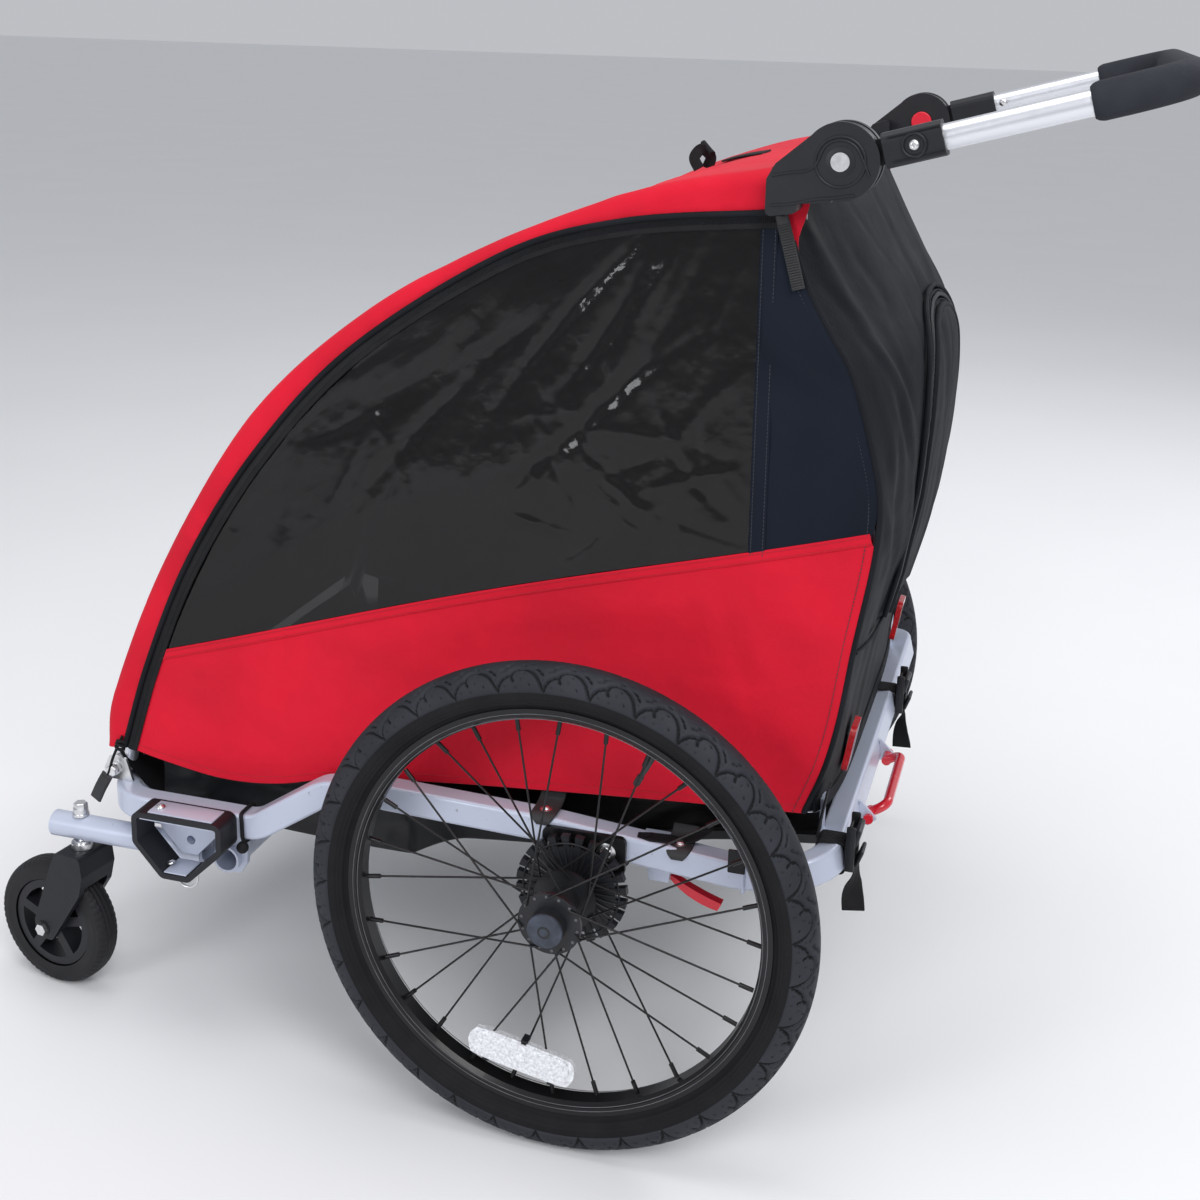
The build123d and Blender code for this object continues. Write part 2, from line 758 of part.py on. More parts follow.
def make_hinge_base(name, sign):
    """Moulded clevis on the hoop's rear end, with two round ears."""
    with BuildPart() as hinge_base:
        for offset_y in (-(ear_inner + ear_outer) / 2, (ear_inner + ear_outer) / 2):
            with BuildSketch(side_plane(sign * (hinge_y + offset_y))):
                with Locations((hinge_x, hinge_z)):
                    Circle(ear_radius)
                with BuildLine():
                    Polyline((hinge_x + 6, hinge_z - 34), (hinge_x - 8, hinge_z + 30),
                             (hinge_x + 22, hinge_z + 24), (-160, 951), (-160, 916),
                             (hinge_x + 6, hinge_z - 34))
                make_face()
            extrude(amount=(ear_outer - ear_inner) / 2, both=True)
        with BuildSketch(side_plane(sign * (hoop_y + 18.3))):
            with BuildLine():
                FilletPolyline((-180, 910), (-153, 906), (-153, 938), (-160, 951), (-180, 958),
                               close=True, radius=5)
            make_face()
        extrude(amount=28.2, both=True)
        with BuildSketch(side_plane(sign * hinge_y)):
            with Locations((hinge_x, hinge_z)):
                Circle(ear_radius + 1.5)
        extrude(amount=ear_inner, both=True, mode=Mode.SUBTRACT)
        with BuildSketch(side_plane(sign * hinge_y)):
            with Locations((hinge_x, hinge_z)):
                Circle(5 + running_gap)
        extrude(amount=40, both=True, mode=Mode.SUBTRACT)
        with BuildSketch(side_plane(sign * (hinge_y - ear_outer))):
            with Locations((hinge_x, hinge_z)):
                Circle(button_radius + 0.2)
        extrude(amount=5.6, both=True, mode=Mode.SUBTRACT)
        with BuildLine(side_plane(sign * hoop_y)) as run:
            FilletPolyline(*hoop_line, radius=bend_radii(hoop_line))
        with BuildSketch(Plane(origin=run.line @ 1, z_dir=(run.line % 1) * -1)):
            Circle(hoop_radius + running_gap)
        extrude(amount=50, mode=Mode.SUBTRACT)
    save(hinge_base, f"hinge_base_{name}")


def make_rotor(name, sign):
    """Turning half of the hinge: a thick disc and the socket that grips the handle tube."""
    root = Vector(axle_x + hinge_x, sign * hinge_y, hinge_z)
    along = Vector(arm_x, 0, arm_z)
    with BuildPart() as rotor:
        with BuildSketch(side_plane(sign * hinge_y)):
            with Locations((hinge_x, hinge_z)):
                Circle(ear_radius - 1)
        extrude(amount=rotor_half, both=True)
        with BuildSketch(Plane(origin=root + along * (ear_radius + 3), x_dir=(0, 1, 0),
                               z_dir=along)):
            RectangleRounded(2 * arm_radius + 10, 2 * arm_radius + 8, 8)
        extrude(amount=50)
        with BuildSketch(Plane(origin=root + along * (ear_radius - 8), x_dir=(0, 1, 0),
                               z_dir=along)):
            Rectangle(2 * rotor_half, 2 * arm_radius)
        extrude(amount=14)
        with BuildSketch(Plane(origin=root + along * 50, x_dir=(0, 1, 0), z_dir=along)):
            Circle(arm_radius + running_gap)
        extrude(amount=60, mode=Mode.SUBTRACT)
        with BuildSketch(side_plane(sign * hinge_y)):
            with Locations((hinge_x, hinge_z)):
                Circle(5 + running_gap)
        extrude(amount=20, both=True, mode=Mode.SUBTRACT)
    save(rotor, f"rotor_{name}")


def make_button(name, sign):
    """Round push-button in the inner ear."""
    face = hinge_y - ear_outer
    with BuildPart() as button:
        with BuildSketch(side_plane(sign * (face - 1.5))):
            with Locations((hinge_x, hinge_z)):
                Circle(button_radius)
        extrude(amount=2.8, both=True)
        fillet(button.edges().group_by(Axis.Y)[0 if sign > 0 else -1], 1.2)
    save(button, f"hinge_button_{name}")


def handle_plane():
    """Plane of the handle: X along the arms away from the hinges, Y across."""
    return Plane(origin=(axle_x + hinge_x, 0, hinge_z), x_dir=(arm_x, 0, arm_z),
                 z_dir=(arm_z, 0, -arm_x))


def make_handle_tube():
    with BuildPart() as handle_tube:
        with BuildLine(handle_plane()) as run:
            FilletPolyline((51, -hinge_y), (arm_length, -hinge_y), (arm_length, hinge_y),
                           (51, hinge_y), radius=handle_bend)
        with BuildSketch(Plane(origin=run.line @ 0, z_dir=run.line % 0)):
            Circle(arm_radius)
            Circle(arm_radius - 1.5, mode=Mode.SUBTRACT)
        sweep()
    save(handle_tube, "handle_tube")


def make_handle_grip():
    with BuildPart() as handle_grip:
        with BuildLine(handle_plane()) as run:
            FilletPolyline((grip_start, -hinge_y), (arm_length, -hinge_y), (arm_length, hinge_y),
                           (grip_start, hinge_y), radius=handle_bend)
        with BuildSketch(Plane(origin=run.line @ 0, z_dir=run.line % 0)):
            Circle(grip_radius)
            Circle(arm_radius + 0.05, mode=Mode.SUBTRACT)
        sweep()
    save(handle_grip, "handle_grip")


# ---------------------------------------------------------------- cabin cloth


def seam_z(x):
    """Height of the seam between the red lower panel and what is above it."""
    slope = (seam_rear[1] - seam_front[1]) / (seam_rear[0] - seam_front[0])
    return seam_front[1] + slope * (x - seam_front[0])


def make_roof_cover():
    """Front and roof cloth in one piece, folded down over the hoops as a strip on each side."""
    half = side_y + 5
    with BuildPart() as roof_cover:
        with BuildSketch(side_plane(0)):
            with BuildLine():
                outer = Spline(*roof_line)
                inner = Spline(*inset(roof_line, sheet))
                Line(outer @ 0, inner @ 0)
                Line(outer @ 1, inner @ 1)
            make_face()
        extrude(amount=half, both=True)
        for sign in (1, -1):
            with BuildSketch(side_plane(sign * (half - sheet / 2))):
                with BuildLine():
                    outer = Spline(*roof_line)
                    border = Spline(*zip_line)
                    Line(outer @ 0, border @ 0)
                    Line(outer @ 1, border @ 1)
                make_face()
            extrude(amount=sheet / 2, both=True)
    save(roof_cover, "roof_cover")


def make_lower_side_panels():
    with BuildPart() as lower_side_panels:
        for sign in (1, -1):
            with BuildSketch(side_plane(sign * side_y)):
                with BuildLine():
                    Polyline((-212, 345), (48, 326), (264, 303), (339, 283), (403, 281),
                             (474, 291), (514, 302), (482, 402), (-252, seam_z(-252)),
                             (-262, 560), (-243, 480), (-212, 345))
                make_face()
            extrude(amount=sheet / 2, both=True)
    save(lower_side_panels, "lower_side_panels")


def make_windows():
    with BuildPart() as windows:
        for sign in (1, -1):
            with BuildSketch(side_plane(sign * side_y)):
                with BuildLine():
                    Polyline((quarter_x, seam_z(quarter_x) + 1), (470, seam_z(470) + 1),
                             (430, 522), (350, 643), (246, 755), (95, 856), (-18, 894),
                             (quarter_x, 906), (quarter_x, seam_z(quarter_x) + 1))
                make_face()
            extrude(amount=1, both=True)
    save(windows, "windows")


def make_rear_cover():
    """Black cloth that closes the rear, with its quarter panels on both sides."""
    half = side_y + 1.5
    with BuildPart() as rear_cover:
        with BuildSketch(side_plane(0)):
            with BuildLine():
                outer = Spline(*rear_line)
                inner = Spline(*inset(rear_line, sheet))
                Line(outer @ 0, inner @ 0)
                Line(outer @ 1, inner @ 1)
            make_face()
        extrude(amount=half, both=True)
        for sign in (1, -1):
            with BuildSketch(side_plane(sign * side_y)):
                with BuildLine():
                    outer = Spline(*rear_line)
                    Polyline(outer @ 1, (-228, 330), (-216, 347), (-246, 480), (-265, 560),
                             (-255, seam_z(-255) + 1), (quarter_x - 1, seam_z(quarter_x) + 2),
                             (quarter_x - 1, 900), outer @ 0)
                make_face()
            extrude(amount=sheet / 2, both=True)
        for sign in (1, -1):
            with BuildSketch(side_plane(sign * (side_y - 10))):
                with Locations((-175, 930)):
                    Rectangle(64, 56)
            extrude(amount=21, both=True, mode=Mode.SUBTRACT)
    save(rear_cover, "rear_cover")


def make_floor_pan():
    """Cloth tub under the seat and the feet: full width in front, narrower behind."""
    with BuildPart() as floor_pan:
        for half, line in ((284, [(486, 262), (478, 226), (330, 214), (185, 212)]),
                           (240, [(186, 212), (60, 226), (-120, 262), (-224, 275)])):
            with BuildSketch(side_plane(0)):
                with BuildLine():
                    upper = [(x, z + floor_thickness) for x, z in reversed(line)]
                    Polyline(*line, *upper, close=True)
                make_face()
            extrude(amount=half, both=True)
        for sign in (1, -1):
            with BuildSketch(side_plane(sign * 282.5)):
                with BuildLine():
                    Polyline((486, 262), (478, 226), (330, 214), (186, 212), (186, 284),
                             (262, 288), (345, 262), (486, 262))
                make_face()
            extrude(amount=1.5, both=True)
    save(floor_pan, "floor_pan")


def make_seat():
    with BuildPart() as seat:
        with BuildSketch(side_plane(0)):
            with BuildLine():
                FilletPolyline((-140, 316), (214, 316), (222, 330), (214, 348), (-128, 346),
                               close=True, radius=6)
            make_face()
        extrude(amount=235, both=True)
    save(seat, "seat")


def make_backrest():
    with BuildPart() as backrest:
        with BuildSketch(side_plane(0)):
            with BuildLine():
                FilletPolyline((-152, 318), (-132, 354), (-160, 790), (-186, 790),
                               close=True, radius=6)
            make_face()
        extrude(amount=235, both=True)
    save(backrest, "backrest")


def make_rear_reflectors():
    with BuildPart() as rear_reflectors:
        for y in (190, -190):
            with BuildSketch(Plane(origin=(axle_x - 237.4, y, 372), x_dir=(0, 1, 0),
                                   z_dir=(-1, 0, -0.164))):
                RectangleRounded(38, 50, 8)
            extrude(amount=6)
    save(rear_reflectors, "rear_reflectors")


for side, sign in SIDES:
    make_rail(side, sign)
    make_boom(side, sign)
    make_receiver(side, sign)
    make_wheel(side, sign)
    make_caster(side, sign)
    make_hitch_pin(side, sign)
    make_lock_lever(side, sign)
    make_hoop(side, sign)
    make_hinge_base(side, sign)
    make_rotor(side, sign)
    make_button(side, sign)

make_front_tube()
make_rear_tube()
make_cross_tubes()
make_receiver_guards()
make_axle_brackets()
make_wheel_axles()
make_hoop_ears()
make_front_pivot_bolts()
make_swivel_bolts()
make_brake_pedal()
make_lever_pivots()
make_roof_tubes()
make_rear_upright()
make_frame_rivets()
make_handle_tube()
make_handle_grip()
make_lower_side_panels()
make_windows()
make_roof_cover()
make_rear_cover()
make_floor_pan()
make_seat()
make_backrest()
make_rear_reflectors()
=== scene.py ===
import json
import math

import bpy
import numpy as np
from mathutils import Matrix, Vector


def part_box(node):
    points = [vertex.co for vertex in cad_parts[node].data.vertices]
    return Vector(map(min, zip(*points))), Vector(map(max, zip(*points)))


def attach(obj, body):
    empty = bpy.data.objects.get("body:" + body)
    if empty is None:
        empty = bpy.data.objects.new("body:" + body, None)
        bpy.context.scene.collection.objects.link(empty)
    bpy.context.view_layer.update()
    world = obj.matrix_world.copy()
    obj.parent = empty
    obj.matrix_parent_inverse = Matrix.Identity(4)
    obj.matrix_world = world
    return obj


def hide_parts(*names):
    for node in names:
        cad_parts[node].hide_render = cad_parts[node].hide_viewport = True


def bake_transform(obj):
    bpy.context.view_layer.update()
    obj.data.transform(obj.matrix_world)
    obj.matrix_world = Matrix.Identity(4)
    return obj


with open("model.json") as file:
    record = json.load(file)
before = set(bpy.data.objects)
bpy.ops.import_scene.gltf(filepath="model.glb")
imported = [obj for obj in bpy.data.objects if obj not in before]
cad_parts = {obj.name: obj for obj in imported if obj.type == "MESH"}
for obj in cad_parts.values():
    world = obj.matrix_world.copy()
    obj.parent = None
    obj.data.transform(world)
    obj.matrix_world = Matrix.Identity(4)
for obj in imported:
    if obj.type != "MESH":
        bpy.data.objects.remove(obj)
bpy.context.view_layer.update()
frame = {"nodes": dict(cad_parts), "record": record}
nodes = frame["nodes"]

AXLE_X = sum(c.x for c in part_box("wheel_axles")) / 2
SIDES = (("left", 1), ("right", -1))
UP = (0, 0, 1)
WHEEL_R, WHEEL_Y = 250, 392.5  # the wheel's radius, and its distance from the middle
BOOM_Y, RAIL_Y = 306, 320  # the front booms and the floor's rails
HINGE_X, HINGE_Z, ARM_Y = -215, 955, 313.5  # the handle's hinge and its arms
CLOTH_Y = 302.0  # middle of the side cloth

# outlines in the side view: forward and up, in mm
ZIP_LINE = [(514, 300), (480, 403), (428, 520), (350, 640), (246, 752), (95, 852), (-18, 890), (-146, 905)]
ROOF_LINE = [(541, 294), (530, 359), (463, 513), (360, 676), (235, 789), (99, 866), (-40, 921), (-150, 944)]
HEM_LINE = [(-212, 345), (-80, 336), (48, 326), (160, 316), (264, 303), (339, 285), (403, 281), (474, 291),
            (514, 300)]
SIDE_REAR = [(-212, 345), (-229, 393), (-240, 445), (-249, 515), (-262, 603), (-263, 659), (-250, 713),
             (-231, 770), (-211, 803), (-186, 848), (-166, 905)]
MID_REAR = [(-230, 318), (-235, 372), (-243, 430), (-259, 505), (-276, 580), (-283, 650), (-286, 713),
            (-280, 766), (-256, 816), (-226, 868), (-196, 925)]
SEAM = [(-259, 618), (478, 404)]  # ends of the seam between the red cloth and the window
QUARTER_X, ZIP_Z = -150.0, 905  # the quarter panel's front edge, and its top


# ---------------------------------------------------------------- small tools
def at(x, y, z):
    return np.array((AXLE_X + x / 1000, y / 1000, z / 1000))


def unit(v):
    v = np.array(v, float)
    return v / np.linalg.norm(v)


def full_turn(count):
    return np.linspace(0, 2 * math.pi, count, endpoint=False)


def along_line(p):
    """How far along its line each point is."""
    return np.concatenate([[0], np.cumsum(np.linalg.norm(np.diff(p, axis=0), axis=1))])


def ring(centre, u, v, count):
    """Points round an ellipse, from its two half axes."""
    u, v = np.array(u), np.array(v)
    return np.array([centre + u * math.cos(a) + v * math.sin(a) for a in full_turn(count)])


def line(points, count):
    """An even run of points along a smooth line through the given ones."""
    p = np.array([tuple(q) for q in points], float)
    if len(p) == 2:
        s = np.linspace(0, 1, count)[:, None]
        return p[0] * (1 - s) + p[1] * s
    ends = np.vstack([2 * p[0] - p[1], p, 2 * p[-1] - p[-2]])
    out = []
    for i in range(1, len(ends) - 2):
        a, b, c, d = ends[i - 1 : i + 3]
        t = np.linspace(0, 1, 24, endpoint=False)[:, None]
        out.append(0.5 * (2 * b + (c - a) * t + (2 * a - 5 * b + 4 * c - d) * t**2
                          + (3 * b - a - 3 * c + d) * t**3))
    out = np.vstack(out + [ends[-2:-1]])
    run = along_line(out)
    s = np.linspace(0, run[-1], count)
    return np.stack([np.interp(s, run, out[:, k]) for k in range(out.shape[1])], 1)


def side_line(points, y, count):
    """The same in the side view, at one distance from the middle."""
    p = line(points, count)
    return np.stack([AXLE_X + p[:, 0] / 1000, np.full(count, y / 1000), p[:, 1] / 1000], 1)


def patch(bottom, top, left, right):
    """A grid that fills four edges."""
    u = np.linspace(0, 1, len(bottom))[:, None, None]
    v = np.linspace(0, 1, len(left))[None, :, None]
    b, t, l, r = bottom[:, None], top[:, None], left[None], right[None]
    return (b * (1 - v) + t * v + l * (1 - u) + r * u
            - ((1 - u) * (1 - v) * b[0, 0] + u * (1 - v) * b[-1, 0]
               + (1 - u) * v * t[0, 0] + u * v * t[-1, 0]))


def grid(points, closed_u=False, closed_v=False, keep=None, flip=False):
    """Faces between a grid's points. keep says which of them are made."""
    n, m = points.shape[:2]
    faces = []
    for i in range(n if closed_u else n - 1):
        for j in range(m if closed_v else m - 1):
            if keep is not None and not keep[i, j]:
                continue
            k, w = (i + 1) % n, (j + 1) % m
            f = (i * m + j, k * m + j, k * m + w, i * m + w)
            faces.append(f[::-1] if flip else f)
    return points.reshape(-1, 3), faces


def sweep(path, section, up=(0, 0, 1), closed=False, scale=None):
    """A section carried along a path. Its first coordinate is along up, its second across."""
    p = np.array([tuple(q) for q in path], float)
    s = np.array(section, float)
    t = np.roll(p, -1, 0) - np.roll(p, 1, 0)
    if not closed:
        t[0], t[-1] = p[1] - p[0], p[-1] - p[-2]
    t /= np.linalg.norm(t, axis=1)[:, None] + 1e-12
    ups = np.array(up, float)
    ups = np.tile(ups, (len(p), 1)) if ups.ndim == 1 else ups
    n = ups - t * np.sum(ups * t, 1)[:, None]
    n /= np.linalg.norm(n, axis=1)[:, None] + 1e-12
    b = np.cross(t, n)
    k = np.ones(len(p)) if scale is None else np.array(scale)
    pts = p[:, None] + (n[:, None] * s[None, :, :1] + b[:, None] * s[None, :, 1:]) * k[:, None, None]
    verts, faces = grid(pts, closed_u=closed, closed_v=True, flip=True)
    if not closed:
        m = len(s)
        faces += [tuple(range(m)), tuple(range((len(p) - 1) * m, len(p) * m))[::-1]]
    return verts, faces


def circle(radius, n=12):
    a = full_turn(n)
    return np.stack([radius * np.cos(a), radius * np.sin(a)], 1)


def flat(thick, width):
    """A strap's section, with rounded edges."""
    h, w = thick / 2, width / 2
    return [(-h, -w + h), (-h, 0), (-h, w - h), (0, w), (h, w - h), (h, 0), (h, -w + h), (0, -w)]


def tube(path, radius, sides=12, closed=False, scale=None):
    """A round rod along any path."""
    p = np.array([tuple(q) for q in path], float)
    d = p[-1] - p[0] if not closed else p[len(p) // 3] - p[0]
    up = np.eye(3)[int(np.argmin(np.abs(d)))]
    ups = [up]
    for i in range(1, len(p)):
        t = p[i] - p[i - 1]
        t = t / (np.linalg.norm(t) + 1e-12)
        v = ups[-1] - t * np.dot(ups[-1], t)
        ups.append(v / (np.linalg.norm(v) + 1e-12))
    return sweep(p, circle(radius, sides), np.array(ups), closed, scale)


def turned(profile, centre, axis, n=40):
    """A turned shape: (radius, height along the axis) pairs in mm."""
    axis = unit(axis)
    side = unit(np.cross(axis, np.eye(3)[int(np.argmin(np.abs(axis)))]))
    other = np.cross(axis, side)
    a = full_turn(n)
    ring = np.cos(a)[:, None] * side + np.sin(a)[:, None] * other
    pts = np.array([np.array(centre) + ring * (r / 1000) + axis * (h / 1000) for r, h in profile])
    verts, faces = grid(pts, closed_v=True)
    m = n * (len(profile) - 1)
    if profile[0][0] > 1e-6:
        faces.append(tuple(range(n))[::-1])
    if profile[-1][0] > 1e-6:
        faces.append(tuple(range(m, m + n)))
    return verts, faces


def hexagon(centre, axis, across, height):
    """A hexagon bolt's head, with its chamfer."""
    r = across / math.sqrt(3)
    return turned([(r, 0), (r, height * 0.82), (r * 0.86, height), (r * 0.1, height)], centre, axis, 6)


def screw(centre, axis, radius, height):
    """A round head with its socket."""
    profile = [(1, 0), (1, 0.35), (0.82, 0.8), (0.45, 1), (0.4, 0.6), (0.02, 0.55)]
    return turned([(radius * r, height * h) for r, h in profile], centre, axis, 28)


def washer(radius, rim, top, height, centre, axis, n):
    """A flat disc whose edge is chamfered from rim up, to a smaller top."""
    return turned([(radius, 0), (radius, rim), (top, height), (0.1, height)], centre, axis, n)


def move(shape, matrix):
    v, f = shape
    m = np.array(matrix)
    return np.array(v) @ m[:3, :3].T + m[:3, 3], f


def block(size, centre, axes=None, bevel=0.15):
    """A moulded block: rounded on its twelve edges. Sizes in mm."""
    h = np.array(size, float) / 2000
    b = min(h) * bevel * 2
    pts, faces = [], []
    n = 5
    for axis in range(3):
        u, v = [k for k in range(3) if k != axis]
        for sign in (-1, 1):
            start = len(pts)
            for a in np.linspace(-1, 1, n):
                for c in np.linspace(-1, 1, n):
                    q = np.zeros(3)
                    q[axis], q[u], q[v] = sign, a, c
                    pts.append(q)
            for k in (start + i * n + j for i in range(n - 1) for j in range(n - 1)):
                f = (k, k + n, k + n + 1, k + 1)
                odd = (axis == 1) != (sign < 0)
                faces.append(f[::-1] if odd else f)
    p = np.array(pts)
    at_edge = np.abs(p) > 0.75
    inner = np.sign(p) * np.where(at_edge, 1, 0.999) * (h - b)
    away = np.where(at_edge, np.sign(p), 0.0)
    p = inner + away / np.maximum(np.linalg.norm(away, axis=1)[:, None], 1e-9) * b
    m = np.eye(4) if axes is None else np.array([[*col, 0] for col in axes] + [[0, 0, 0, 1]], float).T
    m[:3, 3] = centre
    return move((p, faces), m)


def piece(name, shapes, mat, body=None, thick=0.0, angle=40):
    """One object from its shapes, on its body. A list of (shapes, material) pairs gives each its material."""
    groups = shapes if isinstance(shapes[0][0], list) else [(shapes, mat)]
    verts, faces, index, slots = [], [], [], []
    base = 0
    for g, (parts, m) in enumerate(groups):
        slots.append(m)
        for v, f in parts:
            verts.append(np.array(v, float))
            faces += [tuple(int(k) + base for k in q) for q in f]
            index += [g] * len(f)
            base += len(v)
    mesh = bpy.data.meshes.new(name)
    mesh.from_pydata(np.vstack(verts).tolist(), [], faces)
    for m in slots:
        mesh.materials.append(m)
    mesh.polygons.foreach_set("material_index", index)
    obj = bpy.data.objects.new(name, mesh)
    bpy.context.scene.collection.objects.link(obj)
    if thick:
        s = obj.modifiers.new("thick", "SOLIDIFY")
        s.thickness, s.offset = thick, 0.0
    settle(obj)
    obj.data.shade_smooth()
    obj.data.set_sharp_from_angle(angle=math.radians(angle))
    if body == "cabin":
        cabin(obj)
    elif body:
        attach(obj, body)
    return obj


def settle(obj):
    """Makes the modifiers' result the mesh."""
    if not obj.modifiers:
        return
    graph = bpy.context.evaluated_depsgraph_get()
    mesh = bpy.data.meshes.new_from_object(obj.evaluated_get(graph), depsgraph=graph)
    obj.modifiers.clear()
    obj.data = mesh


def cabin(obj):
    """Cloth between the floor frame and the hoops: its placement is baked into its mesh."""
    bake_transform(obj)


def creases(x, z, seed, count, xs, zs, length, width, height, angle, spread):
    """Soft ridges and valleys: each a short line with a rounded section. All in mm."""
    rng = np.random.default_rng(seed)
    total = np.zeros_like(x)
    for _ in range(count):
        cx, cz = rng.uniform(*xs), rng.uniform(*zs)
        a = math.radians(angle + rng.normal(0, spread))
        along = (x - cx) * math.cos(a) + (z - cz) * math.sin(a)
        bow = rng.uniform(-1, 1) * 0.0016 * along**2
        across = -(x - cx) * math.sin(a) + (z - cz) * math.cos(a) + bow
        l, w = rng.uniform(*length), rng.uniform(*width)
        size = rng.choice((-1, 1)) * rng.uniform(0.4, 1) * height
        total += size * np.exp(-((along / l) ** 2) - (across / w) ** 2)
    return total


def push_out(points, normals, d):
    """Moves each row of a grid along its normal in the side view, by d in mm."""
    points[..., 0] += normals[:, None, 0] * d / 1000
    points[..., 2] += normals[:, None, 1] * d / 1000


# ---------------------------------------------------------------- materials
def material(name, color, rough=(0.4, 0.6), metal=0.0, tint=0.12, tint_scale=6.0, bumps=(), sheen=0.0,
             coat=0.0, spec=0.5, alpha=1.0, rough_scale=40.0, weave=None, wear=None):
    """A node material: colour and roughness that vary over the surface, and fine relief.

    bumps holds (scale, strength, depth), weave (pitch, strength) and wear (scale, threshold, colour)."""
    m = bpy.data.materials.new(name)
    m.use_nodes = True
    t = m.node_tree
    add, link = t.nodes.new, t.links.new
    shader = t.nodes["Principled BSDF"]
    where = add("ShaderNodeTexCoord")

    def texture(scale, detail=3.0):
        n = add("ShaderNodeTexNoise")
        n.inputs["Scale"].default_value = scale
        n.inputs["Detail"].default_value = detail
        link(where.outputs["Object"], n.inputs["Vector"])
        return n.outputs["Fac"]

    def ramp(source, stops, colors):
        n = add("ShaderNodeValToRGB")
        for element, stop, c in zip(n.color_ramp.elements, stops, colors):
            element.position, element.color = stop, c
        link(source, n.inputs["Fac"])
        return n.outputs["Color"]

    def bump(source, strength, depth, under):
        n = add("ShaderNodeBump")
        n.inputs["Strength"].default_value, n.inputs["Distance"].default_value = strength, depth
        link(source, n.inputs["Height"])
        if under:
            link(under, n.inputs["Normal"])
        return n.outputs["Normal"]

    dark = [max(0.0, c * (1 - tint)) for c in color] + [1]
    light = [min(1.0, c * (1 + tint)) for c in color] + [1]
    tone = ramp(texture(tint_scale, 5.0), (0.3, 0.7), (dark, light))
    if wear:
        mix = add("ShaderNodeMix")
        mix.data_type = "RGBA"
        mix.inputs["B"].default_value = (*wear[2], 1)
        worn = ramp(texture(wear[0], 8.0), (wear[1], wear[1] + 0.07), ((0, 0, 0, 1), (1, 1, 1, 1)))
        link(worn, mix.inputs["Factor"])
        link(tone, mix.inputs["A"])
        tone = mix.outputs["Result"]
    link(tone, shader.inputs["Base Color"])
    span = add("ShaderNodeMapRange")
    span.inputs["To Min"].default_value, span.inputs["To Max"].default_value = rough
    link(texture(rough_scale, 4.0), span.inputs["Value"])
    link(span.outputs["Result"], shader.inputs["Roughness"])
    normal = None
    for scale, strength, depth in bumps:
        normal = bump(texture(scale), strength, depth, normal)
    if weave:
        pitch, strength = weave
        both = add("ShaderNodeMath")
        both.operation = "MULTIPLY"
        for k, turn in enumerate(((0.62, 0.2, 0.0), (-0.62, 0.1, 1.57))):
            mapping = add("ShaderNodeMapping")
            mapping.inputs["Rotation"].default_value = turn
            wave = add("ShaderNodeTexWave")
            wave.bands_direction = "DIAGONAL"
            wave.inputs["Scale"].default_value = math.pi / (10 * pitch) / 3
            wave.inputs["Distortion"].default_value = 1.2
            wave.inputs["Detail Scale"].default_value = 3.0
            link(where.outputs["Object"], mapping.inputs["Vector"])
            link(mapping.outputs["Vector"], wave.inputs["Vector"])
            link(wave.outputs["Fac"], both.inputs[k])
        normal = bump(both.outputs["Value"], strength, pitch * 0.3, normal)
    if normal:
        link(normal, shader.inputs["Normal"])
    for socket, value in (("Metallic", metal), ("Specular IOR Level", spec), ("Sheen Weight", sheen),
                          ("Coat Weight", coat), ("Alpha", alpha)):
        shader.inputs[socket].default_value = value
    return m


RED = material("red_cloth", (0.60, 0.0045, 0.023), (0.66, 0.82), tint=0.12, tint_scale=9, sheen=0.02,
               bumps=((55, 0.35, 0.003), (700, 0.30, 0.0004)), weave=(0.0011, 0.15), spec=0.22)
BLACK_CLOTH = material("black_cloth", (0.0085, 0.0095, 0.0125), (0.6, 0.8), tint=0.3, tint_scale=12,
                       bumps=((60, 0.35, 0.002), (800, 0.3, 0.0004)), weave=(0.0012, 0.15), spec=0.13)
NAVY = material("navy_cloth", (0.0065, 0.0095, 0.0175), (0.62, 0.82), tint=0.25, tint_scale=10,
                bumps=((50, 0.3, 0.002), (800, 0.3, 0.0004)), weave=(0.0012, 0.15), spec=0.13)
SEAT_CLOTH = material("seat_cloth", (0.05, 0.051, 0.058), (0.75, 0.9), tint=0.2, tint_scale=14, sheen=0.05,
                      bumps=((40, 0.3, 0.002), (900, 0.5, 0.0004)), weave=(0.0016, 0.6), spec=0.25)
COATED = material("coated_nylon", (0.007, 0.0075, 0.009), (0.34, 0.5), tint=0.3, tint_scale=8,
                  bumps=((30, 0.35, 0.004), (600, 0.25, 0.0004)), spec=0.3)
FILM = material("tinted_film", (0.0045, 0.0042, 0.0045), (0.05, 0.10), tint=0.2, tint_scale=5, alpha=0.82,
                bumps=((16, 0.35, 0.008), (55, 0.16, 0.003)), spec=0.34, rough_scale=12)
WEBBING = material("webbing", (0.009, 0.009, 0.0105), (0.6, 0.8), tint=0.25, tint_scale=60,
                   bumps=((500, 0.5, 0.0005),), weave=(0.0016, 0.6), spec=0.2)
RED_THREAD = material("red_thread", (0.42, 0.004, 0.016), (0.6, 0.8), tint=0.2, tint_scale=200,
                      bumps=((2500, 0.5, 0.0002),))
DARK_THREAD = material("dark_thread", (0.03, 0.033, 0.045), (0.6, 0.8), tint=0.2, tint_scale=200,
                       bumps=((2500, 0.5, 0.0002),))
PAINT = material("frame_paint", (0.50, 0.54, 0.66), (0.30, 0.42), metal=0.15, tint=0.05, tint_scale=5,
                 coat=0.25, bumps=((900, 0.10, 0.0002), (6, 0.05, 0.002)),
                 wear=(140, 0.69, (0.30, 0.31, 0.35)))
